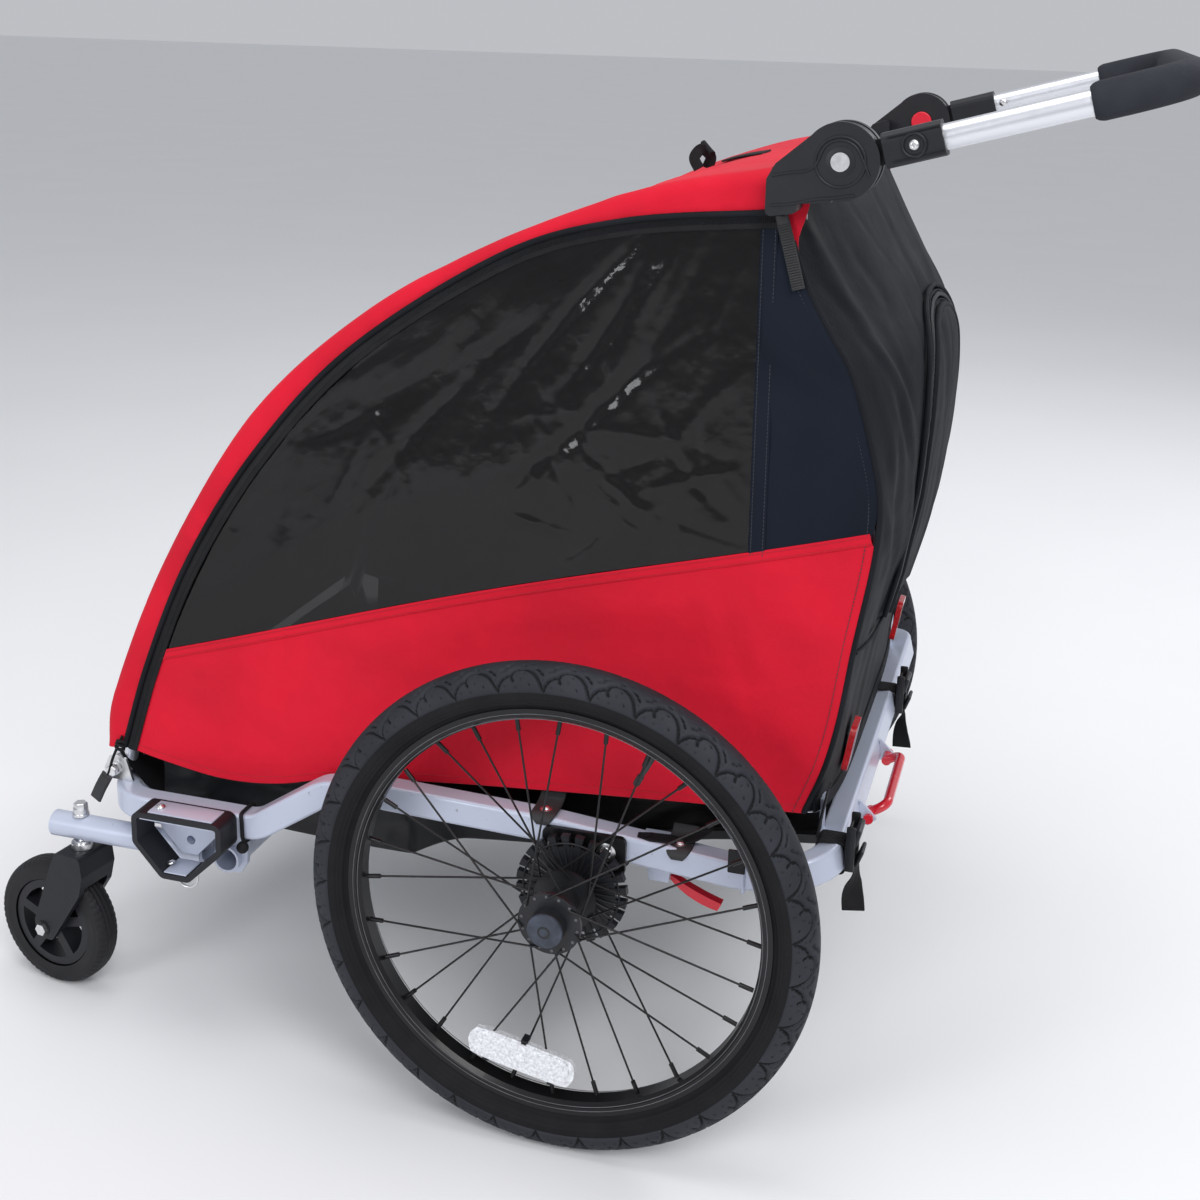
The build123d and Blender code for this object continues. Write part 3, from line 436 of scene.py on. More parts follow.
ALUMINIUM = material("tube_aluminium", (0.74, 0.75, 0.79), (0.26, 0.40), metal=0.85, tint=0.05, tint_scale=4,
                     bumps=((1400, 0.10, 0.0001),), rough_scale=90)
ZINC = material("zinc_steel", (0.70, 0.70, 0.71), (0.22, 0.42), metal=1.0, tint=0.12, tint_scale=120,
                bumps=((700, 0.12, 0.0002),), rough_scale=300)
DARK_STEEL = material("black_steel", (0.008, 0.008, 0.009), (0.25, 0.4), metal=0.3, tint=0.2, tint_scale=60,
                 bumps=((900, 0.1, 0.0001),), spec=0.35)
PLASTIC = material("black_plastic", (0.011, 0.0115, 0.0145), (0.36, 0.52), tint=0.2, tint_scale=25,
                   bumps=((1300, 0.30, 0.0003),), spec=0.32)
HUB = material("hub_black", (0.014, 0.0145, 0.017), (0.32, 0.46), tint=0.2, tint_scale=40, spec=0.35,
               bumps=((900, 0.2, 0.0002),))
CAP = material("cap_grey", (0.040, 0.048, 0.066), (0.42, 0.55), tint=0.35, tint_scale=90, spec=0.3,
               bumps=((1100, 0.35, 0.0003),))
RIM = material("black_rim", (0.006, 0.006, 0.0068), (0.26, 0.40), metal=0.1, tint=0.2, tint_scale=20,
               coat=0.1, bumps=((500, 0.08, 0.0002),), wear=(220, 0.72, (0.03, 0.03, 0.03)), spec=0.3)
RING_GREY = material("ring_grey", (0.10, 0.10, 0.11), (0.4, 0.6), tint=0.35, tint_scale=60,
                     bumps=((700, 0.2, 0.0002),))
STEEL = material("black_steel", (0.013, 0.013, 0.014), (0.25, 0.4), metal=0.5, tint=0.2, tint_scale=60,
                 bumps=((900, 0.1, 0.0001),))
# one rubber in two copies: the tread painted lighter, as lit from above, and the sidewall painted darker, as
# shade
LIT_TREAD_RUBBER = material("tyre_rubber", (0.020, 0.0215, 0.028), (0.55, 0.72), tint=0.25, tint_scale=18,
                bumps=((900, 0.35, 0.0004), (120, 0.15, 0.0006)), spec=0.28)
SHADED_SIDEWALL_RUBBER = material("shaded_sidewall_rubber", (0.0065, 0.0065, 0.0075), (0.6, 0.75), tint=0.25, tint_scale=30,
                    bumps=((900, 0.35, 0.0004),), spec=0.2)
CASTER_RUBBER = material("black_rubber", (0.011, 0.011, 0.013), (0.5, 0.7), tint=0.2, tint_scale=60, spec=0.3,
                  bumps=((900, 0.3, 0.0003),))
CAST = material("fork_black", (0.011, 0.012, 0.015), (0.35, 0.55), metal=0.15, tint=0.2, tint_scale=40,
                bumps=((420, 0.45, 0.0006), (60, 0.3, 0.001)), spec=0.35)
FOAM = material("foam_grip", (0.026, 0.028, 0.036), (0.78, 0.92), tint=0.15, tint_scale=40,
                bumps=((650, 0.8, 0.0007), (160, 0.4, 0.001)), spec=0.2)
RED_PAINT = material("red_paint", (0.60, 0.006, 0.022), (0.2, 0.32), tint=0.08, tint_scale=20, coat=0.5,
                     bumps=((300, 0.06, 0.0003),))
RED_PLASTIC = material("red_plastic", (0.66, 0.010, 0.030), (0.24, 0.38), tint=0.08, tint_scale=30, coat=0.2,
                       bumps=((900, 0.12, 0.0002),))
RED_LENS = material("red_lens", (0.50, 0.006, 0.012), (0.08, 0.2), tint=0.25, tint_scale=300, coat=0.8,
                    bumps=((1200, 0.5, 0.0005),))
CLEAR_LENS = material("clear_lens", (0.74, 0.75, 0.78), (0.06, 0.18), tint=0.25, tint_scale=350, coat=0.7,
                      metal=0.1, bumps=((1200, 0.5, 0.0005),))
RUBBER = material("black_rubber", (0.02, 0.02, 0.022), (0.5, 0.7), tint=0.2, tint_scale=60,
                  bumps=((900, 0.3, 0.0003),))
FLOOR = material("floor", (0.84, 0.845, 0.855), (0.7, 0.85), tint=0.01, tint_scale=2,
                 bumps=((60, 0.02, 0.0005),))

SLOT_LOOKS = {"frame_paint": PAINT, "black_plastic": PLASTIC, "dark_steel": DARK_STEEL, "zinc_steel": ZINC,
              "black_cloth": COATED, "seat_cloth": SEAT_CLOTH, "red_cloth": RED, "navy_cloth": NAVY,
              "clear_film": FILM, "red_lens": RED_LENS, "tube_aluminium": ALUMINIUM, "foam_grip": FOAM,
              "red_paint": RED_PAINT, "red_plastic": RED_PLASTIC, "tyre_rubber": LIT_TREAD_RUBBER, "black_rim": RIM,
              "black_steel": STEEL, "hub_black": HUB, "fork_black": CAST, "caster_rubber": CASTER_RUBBER}
for entry in frame["record"]["subparts"]:
    look = SLOT_LOOKS[entry["material_slot"]]
    mesh = nodes[entry["node"]].data
    mesh.materials.clear()
    mesh.materials.append(look)
    mesh.polygons.foreach_set("material_index", [0] * len(mesh.polygons))
    mesh.shade_smooth()
    mesh.set_sharp_from_angle(angle=math.radians(30))

# ---------------------------------------------------------------- camera, light, floor
YAW, PITCH, ROLL = 0.2829, 0.2583, 0.0264
CAMERA_AT = (-0.5145, 1.7310, 1.0706)
camera = bpy.data.objects.new("camera", bpy.data.cameras.new("camera"))
bpy.context.scene.collection.objects.link(camera)
ahead = Vector((math.sin(YAW) * math.cos(PITCH), -math.cos(YAW) * math.cos(PITCH), -math.sin(PITCH)))
right = ahead.cross(Vector(UP)).normalized()
upward = right.cross(ahead)
across = right * math.cos(ROLL) + upward * math.sin(ROLL)
upright = upward * math.cos(ROLL) - right * math.sin(ROLL)
camera.matrix_world = Matrix.Translation(CAMERA_AT) @ Matrix((across, upright, -ahead)).transposed().to_4x4()
camera.data.sensor_width = 36
camera.data.lens = 49.82
camera.data.shift_x, camera.data.shift_y = -0.0034, -0.1239
camera.data.clip_start = 0.05
bpy.context.scene.camera = camera


def lamp(name, place, target, size, power, color=(1, 1, 1)):
    """A round area light, turned to its target."""
    data = bpy.data.lights.new(name, "AREA")
    data.shape, data.size, data.energy, data.color = "DISK", size, power, color
    obj = bpy.data.objects.new(name, data)
    bpy.context.scene.collection.objects.link(obj)
    aim = (Vector(target) - Vector(place)).to_track_quat("-Z", "Y").to_matrix().to_4x4()
    obj.matrix_world = Matrix.Translation(place) @ aim


lamp("key", (-1.6, 2.6, 3.0), (0, 0, 0.5), 1.8, 62)
lamp("fill", (1.35, 3.1, 1.5), (0, 0, 0.5), 1.1, 26, (0.95, 0.97, 1))
lamp("back", (-1.8, -2.2, 2.4), (0, 0, 0.6), 1.6, 34, (0.97, 0.98, 1))
lamp("top", (0.2, 0.2, 3.4), (0, 0, 0.4), 2.2, 30)
world = bpy.data.worlds.new("studio")
world.use_nodes = True
world.node_tree.nodes["Background"].inputs["Color"].default_value = (0.93, 0.95, 1.0, 1)
world.node_tree.nodes["Background"].inputs["Strength"].default_value = 0.55
bpy.context.scene.world = world
floor_shape = grid(np.array([[(x, y, 0.0) for y in (-40, 40)] for x in (-40, 40)], float))
floor = piece("floor", [floor_shape], FLOOR)
bpy.context.scene.view_settings.view_transform = "Standard"


# ---------------------------------------------------------------- wheels
def make_tyre(side, s):
    """Casing with its moulded tread: hooked arcs along each shoulder, with sipes and dots between them."""
    around, over = ((1320, 96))
    a = full_turn(around)[:, None]
    phi = np.radians(np.linspace(-147, 147, over))[None, :]
    tilt = np.abs(phi)
    count = 33
    pitch = 2 * math.pi * WHEEL_R / count
    run = (a * WHEEL_R) % pitch + 0 * phi
    over_mm = phi * 21.5 + 0 * a
    # one arc of the tread, from its foot on the left, over the hook, down to its foot on the right
    small = [(0.0, 32.0), (2.5, 25.5), (7.5, 20.0), (13.5, 17.6), (14.6, 20.5), (16.2, 22.8)]
    big = [(14.2, 19.0), (15.5, 14.2), (20.0, 11.4), (26.5, 11.2), (33.5, 13.6), (39.5, 18.6), (43.6, 25.0),
           (pitch, 33.0)]
    strokes = [(line(small, 22), 1.5), (line(big, 34), 1.6)]
    sipes = [(4, 13, 3.4, -1.6), (9, 9, 3.2, -2.0), (38, 10.5, 3.2, 1.8), (43, 14, 2.6, 2.6),
             (24, 7.0, 3.4, 0.6)]
    for x, h, dx, dh in sipes:
        strokes.append((np.array([(x, h), (x + dx / 2, h + dh / 2 - 0.4), (x + dx, h + dh)]), 1.1))
    dots = [(24, 21), (33, 26), (8, 28), (19, 29), (27, 15.5), (46, 21), (14, 4), (34, 4.5)]
    cut = np.zeros_like(run)
    for flank, shift in ((f, k * pitch) for f in (-1, 1) for k in (-1, 0, 1)):
        h = over_mm * flank
        x = run + shift if flank > 0 else pitch - run + shift
        for points, width in strokes:
            best = np.full(run.shape, 1e9)
            for (x0, h0), (x1, h1) in zip(points[:-1], points[1:]):
                dx, dh = x1 - x0, h1 - h0
                t = np.clip(((x - x0) * dx + (h - h0) * dh) / (dx**2 + dh**2), 0, 1)
                best = np.minimum(best, np.hypot(x - x0 - t * dx, h - h0 - t * dh))
            cut = np.maximum(cut, np.clip(1.35 - best / width, 0, 1))
        for x0, h0 in dots:
            cut = np.maximum(cut, 0.8 * np.clip(1.4 - np.hypot(x - x0, h - h0) / 0.9, 0, 1))
    side_edge = math.radians(91)  # where the tread meets the sidewall; before it the rubber is painted lighter, as lit from above, past it darker, as painted shade
    ribbed = (tilt > math.radians(98)) & (tilt < math.radians(104))
    rib = 0.35 * (np.sin(a * WHEEL_R / 0.95) > 0.2) * ribbed
    rings = sum(0.55 * (np.abs(tilt - math.radians(k)) < 0.035) for k in (108, 119, 130))
    crown = np.clip((side_edge - tilt) * 14, 0, 1)
    r = 20.5 + 1.4 * crown - 2.3 * cut * crown + rib + rings
    radial = 228 + r * np.cos(phi)
    radial[:, [0, -1]] = 203.5  # the beads sit on the rim
    pts = np.stack([AXLE_X + radial * np.cos(a) / 1000, (s * WHEEL_Y + r * np.sin(phi)) / 1000 + 0 * a,
                    (WHEEL_R + radial * np.sin(a)) / 1000], 2)
    # faces in the darker rubber, painted shade: the sidewall, and the bottoms of the deep tread cuts, as shade
    # in the grooves
    wall = np.tile(tilt[0, :-1] > side_edge, (around, 1)) | (cut[:, :-1] > 0.75)
    groups = [([grid(pts, closed_u=True, keep=k)], mat) for k, mat in ((~wall, LIT_TREAD_RUBBER), (wall, SHADED_SIDEWALL_RUBBER))]
    tyre = piece(f"tyre_tread_{side}", groups, None, f"wheel_{side}", angle=60)
    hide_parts(f"tyre_{side}")


def wheel_ring(radius, y, count=120):
    r = radius / 1000
    return ring(at(0, y, WHEEL_R), (r, 0, 0), (0, 0, r), count)


def spoke_way(a):
    """Outward from the axle, at an angle above forward."""
    return np.array((math.cos(a), 0, math.sin(a)))


def make_wheel_details(side, s):
    y = s * WHEEL_Y
    body = f"wheel_{side}"
    out = np.array((0.0, s, 0.0))
    root = at(0, y, WHEEL_R)
    rims = [tube(wheel_ring(r, y + k * 13.0), 0.00035, 6, closed=True)
            for r in (199.5, 204.0) for k in (-1, 1)]
    piece(f"rim_lines_{side}", rims, RING_GREY, body)
    way = spoke_way(math.radians(117))
    stem = [(3.6, 0), (3.6, 1.5), (3.0, 2), (3.0, 20), (2.6, 21), (2.6, 27), (3.3, 27.5), (3.3, 36),
            (2.6, 38), (0.1, 38.4)]
    piece(f"valve_{side}", [turned(stem, root + way * 0.1975, -way, 20)], RUBBER, body)
    # oblong reflector clipped between the spokes
    lean = math.radians(-79)
    out_r = spoke_way(lean)
    along = np.array((-math.sin(lean), 0, math.cos(lean)))
    centre = root + out_r * 0.160 + out * 0.009
    outline = [(0.052, 0.010), (0.040, 0.0155), (-0.040, 0.0155), (-0.052, 0.010), (-0.055, 0),
               (-0.052, -0.010), (-0.040, -0.0155), (0.040, -0.0155), (0.052, -0.010), (0.055, 0)]
    lens = []
    for shrink, low, high in ((1.0, -0.004, 0.002), (0.9, 0.002, 0.0038)):
        edge = [centre + along * u * shrink + out_r * v * shrink for u, v in line(outline + [outline[0]], 60)]
        v, f = grid(np.array([[q + out * h for q in edge] for h in (low, high)]))
        lens.append((v, f + [tuple(range(60)), tuple(range(60, 120))[::-1]]))
    for i, j in ((i, j) for i in range(-9, 10) for j in (-1, 0, 1)):
        if abs(i) >= 3 or j:
            c = centre + along * i * 0.0050 + out_r * j * 0.0078 + out * 0.0038
            lens.append(turned([(3.2, 0), (0.1, 1.1)], c, out, 6))
    lens.append(washer(4.8, 1.0, 3.6, 1.4, centre + out * 0.0038, out, 24))
    clips = [block((7, 12, 5), centre + along * u + out_r * v - out * 0.004, (along, out, out_r))
             for u, v in ((0.034, 0.016), (-0.034, 0.016), (0.0, -0.016))]
    piece(f"spoke_reflector_{side}", lens, CLEAR_LENS, body, angle=25)
    piece(f"reflector_clips_{side}", clips, PLASTIC, body)
    # bearing cover, flange holes and grooved inner drum
    cap = [(17.2, 36.2), (17.2, 38.0), (16.6, 38.9), (13.0, 39.8), (8.0, 40.4), (0.1, 40.6)]
    piece(f"hub_cap_{side}", [turned(cap, root, out, 48)], CAP, body)
    eye = [(1.5, 24.05), (1.5, 24.4), (1.0, 24.6), (0.7, 24.2), (0.02, 24.1)]
    eyes = [turned(eye, root + spoke_way(2 * math.pi * (i + 0.25) / 14) * 0.0275, out, 14) for i in range(14)]
    piece(f"flange_eyes_{side}", eyes, RING_GREY, body)
    ribs = []
    rib_line = ((0.020, 0.0422), (0.034, 0.0412), (0.047, 0.0422))
    for r in map(spoke_way, full_turn(36)):
        path = [root + r * reach - out * depth for reach, depth in rib_line]
        ribs.append(sweep(path, flat(0.0016, 0.0022), up=-out))
    ribs.append(tube(wheel_ring(48.6, y - s * 42.3, 90), 0.0011, 8, closed=True))
    piece(f"drum_ribs_{side}", ribs, PLASTIC, body)


CASTER_TURN = math.radians(-9)


def make_caster(side, s):
    """Moulded caster tyre with its ribs, and the fork's bolts."""
    ahead_f = np.array((math.cos(CASTER_TURN), math.sin(CASTER_TURN), 0))
    axle = np.array((-math.sin(CASTER_TURN), math.cos(CASTER_TURN), 0))
    centre = at(574, s * BOOM_Y, 0) + ahead_f * 0.040 + np.array((0, 0, 0.074))
    around, over = 360, 40
    a = full_turn(around)[:, None]
    w = np.linspace(-1, 1, over)[None, :]
    wide = np.abs(w)
    half, crown_r, edge_r, base_r, shoulder = 14.9, 73.9, 68.9, 52.0, 0.57
    h = np.sign(w) * half * np.minimum(1, wide * 1.75)
    radius = np.where(wide < shoulder, crown_r - (crown_r - edge_r) * (wide / shoulder) ** 3.2,
                      edge_r - (wide - shoulder) / (1 - shoulder) * (edge_r - base_r))
    groove = 0.8 * ((np.abs(wide - 0.20) < 0.035) | (wide < 0.03))
    tread = 0.7 * (np.sin(a * 60) > 0.55) * ((wide > 0.30) & (wide < 0.62))
    side_ring = 0.5 * ((np.abs(radius - 62) < 1.2))
    radius = (radius - groove - tread)[..., None] / 1000
    h = h + np.sign(w) * side_ring * (wide > shoulder) - np.sign(w) * 1.2 * np.clip((wide - 0.8) * 5, 0, 1)
    pts = (centre + ahead_f * radius * np.cos(a)[..., None] + np.array(UP) * radius * np.sin(a)[..., None]
           + axle * ((h + 0 * a) / 1000)[..., None])
    tread_grid = grid(pts, closed_u=True)
    tyre = piece(f"caster_tread_{side}", [tread_grid], CASTER_RUBBER, f"caster_wheel_{side}", angle=50)
    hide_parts(f"caster_tyre_{side}")
    bolts = [hexagon(centre + axle * k * 0.0262, axle * k, 12, 5) for k in (1, -1)]
    bolts += [washer(9, 1.0, 8.2, 1.4, centre + axle * k * 0.0255, axle * k, 30) for k in (1, -1)]
    piece(f"caster_bolts_{side}", bolts, DARK_STEEL, f"caster_fork_{side}")


for side, s in SIDES:
    make_tyre(side, s)
    make_wheel_details(side, s)
    make_caster(side, s)


# ---------------------------------------------------------------- cabin cloth
def seam_at(t):
    """A point of the seam between the red cloth and the window, from rear to front."""
    (x0, z0), (x1, z1) = SEAM
    return x0 + (x1 - x0) * t, z0 + (z1 - z0) * t + 7 * math.sin(math.pi * t) ** 2


def seam_line(x0, x1, y, count):
    """The seam between two places along it."""
    t0, t1 = ((x - SEAM[0][0]) / (SEAM[1][0] - SEAM[0][0]) for x in (x0, x1))
    points = (seam_at(t) for t in np.linspace(t0, t1, count))
    return np.array([at(x, y, z) for x, z in points])


def in_mm(points):
    return (points[..., 0] - AXLE_X) * 1000, points[..., 2] * 1000


# creases of each cloth, as creases() reads them after x and z
LOWER_CREASES = [(11, 16, (-240, 480), (320, 560), (70, 190), (16, 34), 1.5, 62, 30),
                 (12, 26, (-250, 470), (300, 600), (25, 70), (6, 13), 0.7, 40, 50),
                 (13, 7, (-250, -90), (400, 590), (60, 120), (9, 16), 1.6, 78, 14)]
FILM_CREASES = [(21, 10, (-120, 20), (700, 880), (60, 130), (5, 10), 2.6, -55, 10),
                (22, 26, (-140, 60), (560, 720), (18, 50), (3.5, 7), 1.6, 20, 60),
                (23, 9, (60, 300), (620, 780), (60, 150), (7, 15), 1.8, -38, 18),
                (24, 30, (-100, 420), (440, 760), (20, 70), (4, 8), 0.8, 0, 70),
                (25, 12, (-60, 440), (430, 800), (120, 260), (40, 80), 3.0, -60, 30)]
QUARTER_CREASES = [(31, 9, (-240, -150), (600, 880), (50, 120), (9, 18), 1.6, 80, 22),
                   (32, 12, (-250, -150), (620, 880), (25, 60), (5, 9), 0.7, 60, 30)]
REAR_CREASES = [(41, 18, (-280, 280), (420, 900), (60, 170), (10, 22), 3.6, 84, 12),
                (42, 26, (-290, 290), (330, 900), (30, 80), (6, 12), 1.7, 70, 30),
                (43, 8, (200, 300), (600, 880), (60, 120), (8, 14), 3.5, 62, 8),
                (44, 8, (-300, -200), (600, 880), (60, 120), (8, 14), 3.5, 118, 8)]
BELLY_CREASES = [(71, 34, (190, 486), (225, 300), (20, 70), (5, 12), 3.2, -18, 22),
                 (72, 20, (190, 486), (225, 300), (12, 30), (3, 6), 1.6, 20, 50)]


def all_creases(x, z, rows):
    return sum(creases(x, z, *row) for row in rows)


def pocket_ridge(x, z):
    """The long soft fold where the inner pocket pulls on the red cloth."""
    return 1.3 * np.exp(-((z - (480 + (x - 290) * -0.27)) / 2.6) ** 2) * np.exp(-((x - 180) / 110) ** 2)


def side_panel(name, edges, s, waves, lift, mat, thick=0.0014, angle=70):
    """One panel of the side, between its four edges. waves(x, z) gives its relief in mm."""
    g = patch(*edges)
    u = np.linspace(0, 1, g.shape[0])[:, None]
    v = np.linspace(0, 1, g.shape[1])[None, :]
    edge = np.clip(np.minimum(np.minimum(u, 1 - u) * 14, np.minimum(v, 1 - v) * 7), 0, 1) ** 0.7
    d = np.clip(waves(*in_mm(g)) * edge + lift * edge, -2.2, 9)
    g[..., 1] = s * (CLOTH_Y + d) / 1000
    return piece(name, [grid(g, flip=s < 0)], mat, "cabin", thick=thick, angle=angle)


def stitch_rows(name, path, offsets, normal, mat, step=0.0036):
    """Rows of stitches along a line, each at its offset."""
    rows = [t for offset in offsets for t in stitches(path + np.array(offset), step, normal)]
    piece(name, rows, mat, "cabin")


def make_side(side, s):
    n, m = ((240, 90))
    y = s * CLOTH_Y
    rear_x, (front_x, front_z) = SEAM[0][0], SEAM[1]
    rear = side_line([q for q in SIDE_REAR if q[1] < 617] + [SEAM[0]], y, m)
    front = side_line([(514, 300), (497, 352), SEAM[1]], y, m)
    lower_edges = (side_line(HEM_LINE, y, n), seam_line(rear_x, front_x, y, n), rear, front)
    lower = side_panel(f"lower_side_{side}", lower_edges, s,
                       lambda x, z: all_creases(x, z, LOWER_CREASES) + pocket_ridge(x, z), 1.6, RED)
    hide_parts("lower_side_panels")
    # tinted window
    top = [q for q in reversed(line(ZIP_LINE, 300).tolist()) if q[0] >= QUARTER_X and q[1] >= front_z]
    foot = (QUARTER_X, seam_at((QUARTER_X - rear_x) / (front_x - rear_x))[1])
    head = (QUARTER_X + 3, ZIP_Z)
    film_low = seam_line(QUARTER_X, front_x, y, n)
    film_top = side_line([head] + [tuple(q) for q in top[1:]] + [SEAM[1]], y, n)
    post = side_line([foot, head], y, m)
    window = side_panel(f"window_{side}", (film_low, film_top, post, np.tile(film_low[-1], (m, 1))), s,
                        lambda x, z: all_creases(x, z, FILM_CREASES), 1.2, FILM, 0.0006, 75)
    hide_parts("windows")
    # navy quarter panel
    q_rear = side_line([SEAM[0]] + [q for q in SIDE_REAR if q[1] > 630], y, m)
    q_edges = (seam_line(rear_x, QUARTER_X, y, 50), side_line([SIDE_REAR[-1], head], y, 50), q_rear, post)
    quarter = side_panel(f"quarter_{side}", q_edges, s,
                         lambda x, z: all_creases(x, z, QUARTER_CREASES), 1.0, NAVY)
    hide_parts("rear_cover")
    corner = patch(side_line([(-188, 846), (-150, 846)], s * 300.5, 12),
                   side_line([(-190, 934), (-148, 930)], s * 299, 12),
                   side_line([(-188, 846), (-178, 880), (-184, 905), (-190, 934)], s * 300, 12),
                   side_line([(-150, 846), (-150, 888), (-148, 930)], s * 300, 12))
    piece(f"corner_gusset_{side}", [grid(corner)], RED, "cabin", thick=0.0012)
    normal = (0, s, 0)
    # folded red binding along the seam, with two rows of stitches
    bind = seam_line(rear_x, front_x, s * (CLOTH_Y + 1.6), 90)
    fold = sweep(bind + np.array((0, 0, 0.003)), flat(0.0018, 0.011), up=normal)
    piece(f"seam_binding_{side}", [fold], RED, "cabin")
    stitch_rows(f"seam_stitches_{side}", bind, [(0, s * 0.0012, 0.0062), (0, s * 0.0012, -0.0004)], normal,
                RED_THREAD, 0.0034)
    # strip beside the window's rear edge with double stitching, and the hem of the red cloth
    edge = side_line([(QUARTER_X, foot[1] + 6), (QUARTER_X + 3, 900)], s * (CLOTH_Y + 1.5), 60)
    strip = sweep(edge + np.array((-0.006, 0, 0)), flat(0.0014, 0.016), up=normal)
    piece(f"quarter_binding_{side}", [strip], NAVY, "cabin")
    stitch_rows(f"quarter_stitches_{side}", edge, [(-0.0005, s * 0.0009, 0), (-0.0115, s * 0.0009, 0)],
                normal, DARK_THREAD)
    hem = side_line(HEM_LINE, s * (CLOTH_Y + 0.4), 160)
    hem_fold = sweep(hem + np.array((0, 0, 0.004)), flat(0.0022, 0.010), up=normal)
    hem_tape = piece(f"hem_{side}", [hem_fold], RED, "cabin")
    stitch_rows(f"hem_stitches_{side}", hem, [(0, s * 0.0013, 0.0075)], normal, RED_THREAD)


def stitches(path, step, normal):
    """A row of thread: each stitch a small rounded dash lying on the cloth."""
    p = np.array(path)
    run = along_line(p)
    shapes = []
    count = int(run[-1] / step)
    for i in range(count):
        s0, s1 = i * step, i * step + step * 0.68
        a, b = (np.array([np.interp(k, run, p[:, j]) for j in range(3)]) for k in (s0, s1))
        mid = (a + b) / 2 + np.array(normal) * 0.0003
        shapes.append(sweep([a, mid, b], [(0.0003, 0), (0, 0.0004), (-0.0003, 0), (0, -0.0004)], up=normal))
    return shapes


REAR_SIDE = line(SIDE_REAR + [(-172, 926)], 200)
REAR_MID = line(MID_REAR, 200)
REAR_STEPS = np.linspace(0, 1, 200)


def rear_point(y, v, lift=0.0):
    """A point of the rear cloth: v runs up from its hem, y across in mm, lift off it to the rear."""
    side_p, mid_p = (np.array([np.interp(v, REAR_STEPS, p[:, k]) for k in (0, 1)])
                     for p in (REAR_SIDE, REAR_MID))
    k = min(1.0, abs(y) / CLOTH_Y) ** (2.4 + 2.2 * (1 - v))
    x, z = side_p * k + mid_p * (1 - k)
    return at(x - lift, y, z)


def make_rear():
    n, m = ((190, 170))
    g = np.array([[rear_point(y, v) for v in np.linspace(0, 1, m)]
                  for y in np.linspace(CLOTH_Y, -CLOTH_Y, n)])
    y, z = g[..., 1] * 1000, g[..., 2] * 1000
    fade = (np.clip((CLOTH_Y - np.abs(y)) / 26, 0, 1) * np.clip((z - 320) / 30, 0, 1)
            * np.clip((930 - z) / 40, 0, 1))
    g[..., 0] -= np.clip(all_creases(y, z, REAR_CREASES) * fade, -5, 8) / 1000
    panel = piece("rear_panel", [grid(g, flip=True)], BLACK_CLOTH, "cabin", thick=0.0014, angle=70)
    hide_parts("rear_cover")
    # arched zip and the flap inside it
    foot_v, arch_v = 0.285, 0.782
    legs = [(158, foot_v), (160, 0.40), (158, 0.52), (151, 0.62), (130, 0.70), (88, 0.755), (40, 0.778),
            (0, arch_v)]
    outline = line(legs + [(-y, v) for y, v in reversed(legs[:-1])], 200)

    def band(shrink, lift):
        """The arch drawn smaller, off the cloth."""
        fall = 1 - (1 - shrink) * 0.62
        return np.array([rear_point(y * shrink, foot_v + (v - foot_v) * fall, lift) for y, v in outline])

    piping = [tube(band(1.0, 4.2), 0.0026, 8), tube(band(0.885, 6.0), 0.0036, 10)]
    piece("rear_zip_piping", piping, BLACK_CLOTH, "cabin")
    coil = tube(band(0.945, 4.4), 0.0021, 8, scale=1 + 0.22 * (np.arange(200) % 2))
    piece("rear_zip_coil", [coil], PLASTIC, "cabin")
    rows = stitches(band(0.972, 4.8), 0.004, (-1, 0, 0)) + stitches(band(0.918, 5.0), 0.004, (-1, 0, 0))
    piece("rear_zip_stitches", rows, DARK_THREAD, "cabin")
    rise = 1 - np.linspace(1, 0, 70) ** 2
    span = arch_v - foot_v
    half = np.interp(rise, (outline[:100, 1] - foot_v) / span, outline[:100, 0])
    half = half * np.clip((1 - rise) * 60, 0, 1) ** 0.5 * 0.895
    across_u = np.linspace(-1, 1, 81)
    flap = np.array([[rear_point(w * u, foot_v + span * 0.93 * k, 7.0 + 3.0 * (1 - u * u))
                      for w, k in zip(half, rise)] for u in across_u])
    edge = np.clip((1 - np.abs(across_u))[:, None] * 8, 0, 1)
    relief = creases(flap[..., 1] * 1000, flap[..., 2] * 1000, 51, 14, (-130, 130), (450, 780), (50, 140),
                     (8, 18), 2.4, 86, 12)
    flap[..., 0] -= edge * np.clip(relief, -2, 4) / 1000
    flap_piece = piece("rear_flap", [grid(flap)], BLACK_CLOTH, "cabin", thick=0.0012, angle=70)
    seam = [rear_point(y, 0.278, 2.2) for y in np.linspace(294, -294, 80)]
    piece("rear_cross_seam", [tube(seam, 0.0016, 8)], BLACK_CLOTH, "cabin")
    # corner seams
    for side, s in SIDES:
        seam = np.array([at(x - 1.2, s * CLOTH_Y, z) for x, z in REAR_SIDE[:186:2]])
        piece(f"rear_corner_piping_{side}", [tube(seam, 0.0028, 8)], BLACK_CLOTH, "cabin")
        stitch_rows(f"rear_corner_stitches_{side}", seam, [(0.010, s * 0.0018, 0)], (0, s, 0), DARK_THREAD)
    # the rear cloth's hem, folded over the rear tube
    hem = np.array([rear_point(y, 0.012, 2.5) for y in np.linspace(286, -286, 90)])
    piece("rear_hem", [sweep(hem, flat(0.0022, 0.014), up=(-1, 0, 0.05))], BLACK_CLOTH, "cabin")


for side, s in SIDES:
    make_side(side, s)
make_rear()


